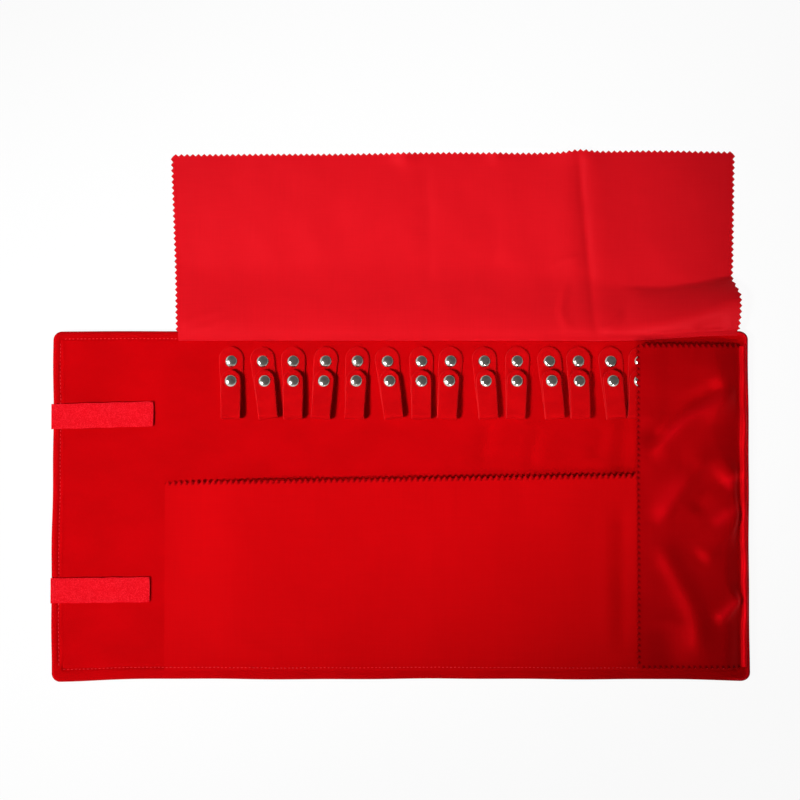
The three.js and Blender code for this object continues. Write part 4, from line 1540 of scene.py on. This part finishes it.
@dataclass(frozen=True)
class SnapStrap:
    """One folded strap: a wide back leg, a fold at the bottom and a narrower front leg that snaps shut."""

    number: int
    x: float
    lean: float

    anchor_y: float = 115.7
    flat: Point = (19.5, 100.0)
    half_thickness: float = 0.55
    edge_round: float = 0.5
    head: float = 11.6
    head_radius: float = 9.75
    fold_half: float = 7.75
    fold_centre: float = -42.9
    fold_level: float = 11.5
    fold_radius: float = 3.0
    front_reach: float = 35.8
    front_radius: float = 8.0
    front_slope: float = math.radians(3.391)
    front_top: float = 3.6
    snap_reach: float = 27.0
    snap_drop: float = 15.9
    cap_tilt: float = 0.1
    bend_level: float = 10.8
    bend_span: float = 2.05
    bend_rise: float = 0.03
    sharp: float = 75.0
    anchor_top: float = 9.12
    thinnest: float = 0.02
    back_rows: tuple[float, float, int] = (12.0, 2.0, 16)
    front_rows: tuple[float, float, int] = (10.5, 1.5, 10)
    turn_rows: int = 13
    edge_points: int = 7
    face_points: int = 7
    edge_share: float = 0.6
    wobble: float = 0.1
    wobble_lengths: Point = (4.0, 7.0)
    puff: float = 0.06
    grain: float = 0.05
    grain_turns: Point = (0.9, 0.7)
    phase: float = 6.0
    cut_fade: float = 0.7
    strip_seed: int = 300
    anchor_seed: int = 400
    snap_seed: int = 500
    last: int = 14
    tips: tuple[float, ...] = (0.0, 0.1, 0.4, 0.9, 1.6, 2.5, 3.6, 5.0, 6.6, 8.2, 9.8)

    @property
    def tag(self) -> str:
        """The strap's number as in its nodes' names."""
        return f"{self.number:02d}"

    @property
    def body(self) -> str:
        """The body that the front leg moves with; the last strap stays shut."""
        return "pad" if self.number == self.last else f"strap_{self.tag}"

    def at(self, along: float) -> Point:
        """Returns the place on the pad at a distance along the strap."""
        return self.x - along * math.sin(self.lean), self.anchor_y + along * math.cos(self.lean)

    def head_widths(self, tip: Array, radius: float, run: float) -> Array:
        """Works out half widths from a round head down to the fold.

        Args:
            tip: Distances from the tip of the head.
            radius: The head's radius.
            run: Distance from the tip to the fold.

        Returns:
            Half the width at each distance.
        """
        square = radius**2 - (radius - np.minimum(tip, radius)) ** 2
        round_part = np.sqrt(np.maximum(square, self.thinnest))
        taper = np.clip((tip - radius) / (run - radius), 0.0, 1.0)
        return np.where(tip < radius, round_part, radius + (self.fold_half - radius) * taper)

    def path(self) -> tuple[Array, Array, Array]:
        """Lays out the strip's middle line.

        Returns:
            Places along the strap, heights and half widths.
        """
        back_run = self.head - self.fold_centre
        start, stop, rows = self.back_rows
        back = np.concatenate([self.tips, np.linspace(start, back_run - stop, rows)])
        start, stop, rows = self.front_rows
        front = np.concatenate([np.linspace(self.front_reach - stop, start, rows), self.tips[::-1]])
        reach = self.front_reach - front
        turn = math.pi * np.linspace(0.0, 1.0, self.turn_rows)
        along = (
            self.head - back,
            self.fold_centre - self.fold_radius * np.sin(turn),
            self.fold_centre + reach * math.cos(self.front_slope),
        )
        height = (
            np.full(len(back), self.fold_level - self.fold_radius),
            self.fold_level - self.fold_radius * np.cos(turn),
            self.fold_level + self.fold_radius - reach * math.sin(self.front_slope),
        )
        half = (
            self.head_widths(back, self.head_radius, back_run),
            np.full(len(turn), self.fold_half),
            self.head_widths(front, self.front_radius, self.front_reach),
        )
        return np.concatenate(along), np.concatenate(height), np.concatenate(half)

    def build(self) -> None:
        """Builds the strap's strip with rounded edges."""
        along, z, half = self.path()
        draw = np.random.default_rng(self.strip_seed + self.number)
        step = np.stack([np.gradient(along), np.gradient(z)], axis=1)
        step /= np.linalg.norm(step, axis=1, keepdims=True)
        edge_turn = np.linspace(-0.5, 0.5, self.edge_points) * math.pi
        flat = np.linspace(-1.0, 1.0, self.face_points + 2)[1:-1]
        soft = np.minimum(self.edge_round, half * self.edge_share)
        length = draw.uniform(*self.wobble_lengths)
        wobble = self.wobble * np.sin(along / length + draw.uniform(0, self.phase))
        side = (half + wobble - soft)[:, None]
        edge = side + soft[:, None] * np.cos(edge_turn)
        across = np.concatenate([edge, -side * flat, -edge, side * flat], axis=1)
        edge_arch, face_arch = np.sin(edge_turn), np.ones(len(flat))
        arch = np.concatenate([edge_arch, face_arch, -edge_arch, -face_arch])
        puff = self.puff * (1.0 - (across / np.maximum(half, 1.0)[:, None]) ** 2) * arch
        turn_x, turn_y = self.grain_turns
        phase = draw.uniform(0, self.phase)
        grain = self.grain * np.sin(across * turn_x + along[:, None] * turn_y + phase)
        off = self.half_thickness * arch + puff + grain * np.abs(arch)
        places, levels = along[:, None] + step[:, 1:] * off, z[:, None] - step[:, :1] * off
        points = np.stack([across, places, levels], axis=-1)
        shell = Shell()
        shell.add_rings(Placing(self.x, self.anchor_y, 0.0, self.lean).put(points), flip=True)
        piece = shell.piece(f"strap_{self.tag}_strip", SUEDE, self.sharp)
        mark(piece, CUT_EDGE_AND_PAINTED_LIGHT, np.clip(1.0 - np.abs(arch), 0.0, 1.0) ** self.cut_fade)
        metres(*self.flat)
        dressed(piece, [f"strap_back_{self.tag}", f"strap_front_{self.tag}"])
        self.hinge(piece)

    def hinge(self, piece: bpy.types.Object) -> None:
        """Sets the strip on the pad where it stays shut; otherwise works out the ends of its fold, which are
        not used, and bakes its place into its mesh.
        """
        if self.body == "pad":
            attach(piece, "pad")
            return
        span = self.bend_span / (1.0 + self.bend_rise**2)
        x, y = self.at(self.fold_centre)
        slip = self.bend_rise * span
        end_x, end_y = x - math.sin(self.lean) * slip, y + math.cos(self.lean) * slip
        start, end = metres(x, y, self.bend_level), metres(end_x, end_y, self.bend_level + span)
        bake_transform(piece)

    def askew(self, x: float, y: float, z: float, slope: float, seed: int) -> Placing:
        """Sets a cap on a leg, a few degrees off square.

        Args:
            x: Place along the pad.
            y: Place across the pad.
            z: Height of the leg's upper face.
            slope: How far the leg slopes up to the fold.
            seed: Chooses the cap's own small tilt.

        Returns:
            Where the cap goes.
        """
        over, aside = np.random.default_rng(seed + self.number).uniform(-self.cap_tilt, self.cap_tilt, 2)
        return Placing(x, y, z, self.lean + math.atan2(aside, over - slope), math.hypot(over - slope, aside))

    def at_snap(self) -> Placing:
        """Returns the place of the snap on the front leg's upper face."""
        along = self.fold_centre + self.snap_reach * math.cos(self.front_slope)
        level = self.fold_level + self.front_top - self.snap_reach * math.sin(self.front_slope)
        return self.askew(*self.at(along), level, self.front_slope, self.snap_seed)

    def at_anchor(self) -> Placing:
        """Returns the place of the anchor cap on the back leg's upper face."""
        return self.askew(*self.at(0.0), self.anchor_top, 0.0, self.anchor_seed)


@dataclass
class SnapRow:
    """The row of straps with their anchor caps, snap caps and studs."""

    start: float = -134.7
    pitch: float = 25.2
    shifts: tuple[float, ...] = (0.0, 0.0, -0.7, 0.0, 0.2, -1.0, 1.0, -0.8, 1.1, 2.3, 2.9, 0.9, 1.5, 0.0)
    leans: tuple[float, ...] = (0.0, 6.0, 0.0, -5.0, -3.0, 6.5, 0.0, -4.0, 4.0, -2.0, 5.0, 1.5, 5.0, -4.0)

    # Turned profiles as radius and height
    cap: tuple[Point, ...] = (
        (1.4, 0.1), (3.9, 0.06), (4.4, 0.0), (4.68, 0.06), (4.78, 0.24), (4.74, 0.42), (4.6, 0.62),
        (4.36, 0.86), (4.0, 1.14), (3.5, 1.42), (2.9, 1.66), (2.2, 1.86), (1.4, 2.0), (0.7, 2.06),
        (0.02, 2.08),
    )
    post: tuple[Point, ...] = ((0.02, -1.42), (1.4, -1.42), (1.4, 0.08))
    socket: tuple[Point, ...] = (
        (0.02, -1.85), (2.3, -1.9), (2.45, -2.2), (2.5, -3.6), (2.8, -3.85), (3.3, -3.85),
        (3.65, -3.55), (3.7, -2.0), (3.5, -1.6), (3.2, -1.35), (1.4, -1.3),
    )
    knob: tuple[Point, ...] = (
        (0.02, 8.9), (2.6, 8.9), (2.7, 9.2), (2.5, 9.4), (1.5, 9.5), (1.4, 10.0),
        (1.75, 10.4), (1.9, 10.75), (1.7, 11.0), (1.0, 11.1), (0.02, 11.12),
    )
    knob_sides: int = 20
    cap_seat: float = 0.02

    def straps(self) -> list[SnapStrap]:
        """Sets out the straps."""
        places = enumerate(zip(self.shifts, self.leans))
        return [SnapStrap(i + 1, self.start + self.pitch * i + s, math.radians(a)) for i, (s, a) in places]

    def build(self) -> None:
        """Builds the whole row."""
        straps = self.straps()
        for strap in straps:
            strap.build()
        anchors, studs = Shell(), Shell()
        for strap in straps:
            anchors.add_turned(self.post + self.cap, strap.at_anchor())
            studs.add_turned(self.knob, Placing(*strap.at(-strap.snap_drop)), self.knob_sides)
            self.snap(strap)
        self.metal(anchors, "anchor_caps", ["anchor_rivet_row"], "pad")
        self.metal(studs, "snap_studs", [], "pad")

    def snap(self, strap: SnapStrap) -> None:
        """Builds one snap cap with the socket behind the strap."""
        shell = Shell()
        shell.add_turned(self.socket + tuple((r, z + self.cap_seat) for r, z in self.cap), strap.at_snap())
        self.metal(shell, f"snap_{strap.tag}", [f"snap_cap_{strap.tag}"], strap.body)

    def metal(self, shell: Shell, name: str, nodes: Sequence[str], body: str) -> None:
        """Makes a plated piece.

        Args:
            shell: Its points and faces.
            name: The piece's name.
            nodes: The nodes that it stands for, if any.
            body: The body that it rides on.
        """
        piece = shell.piece(name, NICKEL)
        dressed(piece, nodes)
        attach(piece, body)


@dataclass
class Closure:
    """One closure tape on the closing end, and the patch under the pad that it sticks to."""

    name: str
    y: float
    length: float
    tilt: float
    left: float = -278.0
    overhang: float = 0.4
    half_width: float = 10.0
    top: float = 9.75
    thickness: float = 1.2
    fuzz: float = 0.13
    edge_drop: float = 0.12
    edge_across: Ramp = Ramp(0.9, 0.1)
    edge_along: Ramp = Ramp(0.988, 0.012)
    edge_wave: float = 0.15
    edge_turn: float = 21.0
    corner_cut: float = 0.7
    corner_powers: tuple[int, int] = (40, 8)
    fuzz_reach: float = 0.97
    tape_lines: tuple[int, int] = (108, 29)
    bend: Point = (-0.5, 4.5)
    waves: Ripple = Ripple(61, 0.12, 18.0, 45.0)
    patch_x: Point = Pad.patch_x
    patch_thickness: float = 0.3
    hook_levels: Point = (0.02, 0.24)
    hook_margin: float = 1.2
    hook_reach: float = 0.94
    hook_lines: tuple[int, int] = (107, 27)

    def tape(self) -> None:
        """Builds the loop tape, with a fuzzy face and rounded corners at its free end."""
        columns, rows = self.tape_lines
        u, v = np.meshgrid(np.linspace(0.0, 1.0, columns), np.linspace(-1.0, 1.0, rows))
        off = np.abs(v)
        draw = np.random.default_rng(int(self.length * 10))
        power_x, power_y = self.corner_powers
        cut = self.corner_cut * u**power_x * off**power_y
        x = self.left - self.overhang + self.length * u - cut
        wave = self.edge_wave * np.sin(u * self.edge_turn + v) * off
        y = self.y + self.half_width * v + self.tilt * (u - 0.5) + wave
        fuzz = draw.uniform(-self.fuzz, self.fuzz, u.shape) * (off < self.fuzz_reach)
        edge = -self.edge_drop * (self.edge_across.at(off) + self.edge_along.at(u))
        z = self.top + fuzz + edge + self.waves.lift(x, y)
        piece = cloth(f"closure_tape_{self.name}", LOOP_TAPE, (x, y, z), self.thickness)
        flat = metres(2 * self.half_width, self.length)
        node = f"closure_strap_{self.name}"
        dressed(piece, [node])
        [metres(self.left + shift, self.y, 9) for shift in self.bend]
        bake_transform(piece)

    def patch(self) -> None:
        """Builds the hook patch under the pad, with rows of hooks."""
        low, high = self.patch_x
        count_x, count_y = self.hook_lines
        x, v = np.meshgrid(np.linspace(high, low, count_x), np.linspace(-1.0, 1.0, count_y))
        rows, columns = np.indices(x.shape)
        along = (x > low + self.hook_margin) & (x < high - self.hook_margin)
        inner = along & (np.abs(v) < self.hook_reach)
        z = np.where(inner & ((rows + columns) % 2 == 1), *self.hook_levels)
        outer = (x, self.y + self.half_width * v, z)
        piece = cloth(f"hook_tape_{self.name}", HOOK_TAPE, outer, self.patch_thickness)
        flat = metres(2 * self.half_width, high - low)
        dressed(piece, [f"hook_patch_{self.name}"])
        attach(piece, "pad")


@dataclass(frozen=True)
class Lamp:
    """A soft square lamp with a beam."""

    name: str
    place: Place
    aim: Place
    power: float
    size: float
    spread: float

    def hang(self) -> None:
        """Adds the lamp to the scene."""
        data = bpy.data.lights.new(self.name, "AREA")
        data.energy = self.power
        data.size = self.size
        data.spread = math.radians(self.spread)
        lamp = bpy.data.objects.new(self.name, data)
        towards = np.array(self.aim) - np.array(self.place)
        towards = towards / np.linalg.norm(towards)
        lamp.location = metres(*self.place)
        lamp.rotation_euler = (math.acos(-towards[2]), 0.0, math.atan2(towards[1], towards[0]) - math.pi / 2)
        bpy.context.scene.collection.objects.link(lamp)


@dataclass
class Studio:
    """The floor, the soft light and the camera over the roll."""

    aim: Place = (0.44, 84.9, 0.0)
    distance: float = 1600.0
    elevation: float = 88.42
    lens: float = 89.47
    sensor: float = 36.0
    floor_half: float = 4000.0
    floor_lines: int = 9
    floor_level: float = -0.4
    sky: float = 0.14
    zenith: float = 0.13
    lamps: tuple[Lamp, ...] = (
        Lamp("key_lamp", (-982.0, -229.0, 1246.0), (-150.0, 88.0, 0.0), power=1.4, size=0.6, spread=18.0),
        Lamp("flap_lamp", (190.0, -760.0, 1000.0), (205.0, 215.0, 0.0), power=0.105, size=0.3, spread=14.0),
    )

    def floor(self) -> None:
        """Lays the pale floor."""
        line = np.linspace(-self.floor_half, self.floor_half, self.floor_lines)
        x, y = np.meshgrid(line, line)
        shell = Shell()
        points = np.stack([x, y, np.full_like(x, self.floor_level)], axis=-1)
        shell.add(points, ring_faces(self.floor_lines, self.floor_lines, closed=False))
        shell.piece("floor", FLOOR)

    def camera(self) -> None:
        """Sets the camera over the roll."""
        data = bpy.data.cameras.new("camera")
        data.lens = self.lens
        data.sensor_width = self.sensor
        camera = bpy.data.objects.new("camera", data)
        lean = math.radians(90.0 - self.elevation)
        back = (0.0, -math.sin(lean) * self.distance, math.cos(lean) * self.distance)
        camera.location = metres(*(a + b for a, b in zip(self.aim, back)))
        camera.rotation_euler = (lean, 0.0, 0.0)
        bpy.context.scene.collection.objects.link(camera)
        bpy.context.scene.camera = camera

    def world(self) -> None:
        """Sets an even sky that the eye, mirrors and glass see as white, with a grey ceiling overhead."""
        world = bpy.data.worlds.new("studio")
        bpy.context.scene.world = world
        graph = Graph(world)
        side, near, height = graph.axes(graph.node("ShaderNodeTexCoord", output="Generated"))
        ceiling = graph.spread(height + near * 0.4 + side * 0.3, 0.1, 0.7)
        level = graph.seen() * (1.0 - self.sky - ceiling * (1.0 - self.zenith)) + self.sky
        sky = graph.node("ShaderNodeBackground", inputs={"Color": WHITE, "Strength": level})
        graph.node("ShaderNodeOutputWorld", inputs={"Surface": sky})

    def build(self) -> None:
        """Sets up the floor, the light and the camera."""
        self.camera()
        self.floor()
        self.world()
        for lamp in self.lamps:
            lamp.hang()
        bpy.context.scene.view_settings.view_transform = "Standard"


def main() -> None:
    """Builds every piece of the roll and the studio."""
    logging.basicConfig(level=logging.INFO, format="%(name)s: %(message)s")
    Studio().build()
    pad = Pad()
    pad.build()
    pad.stitches()
    Pocket().build()
    SnapRow().build()
    TopFlap().build()
    SideFlap().build()
    upper, lower = pad.patch_y
    for closure in (Closure("upper", upper, 81.6, 2.2), Closure("lower", lower, 79.2, 0.9)):
        closure.tape()
        closure.patch()


if __name__ == "__main__":
    main()
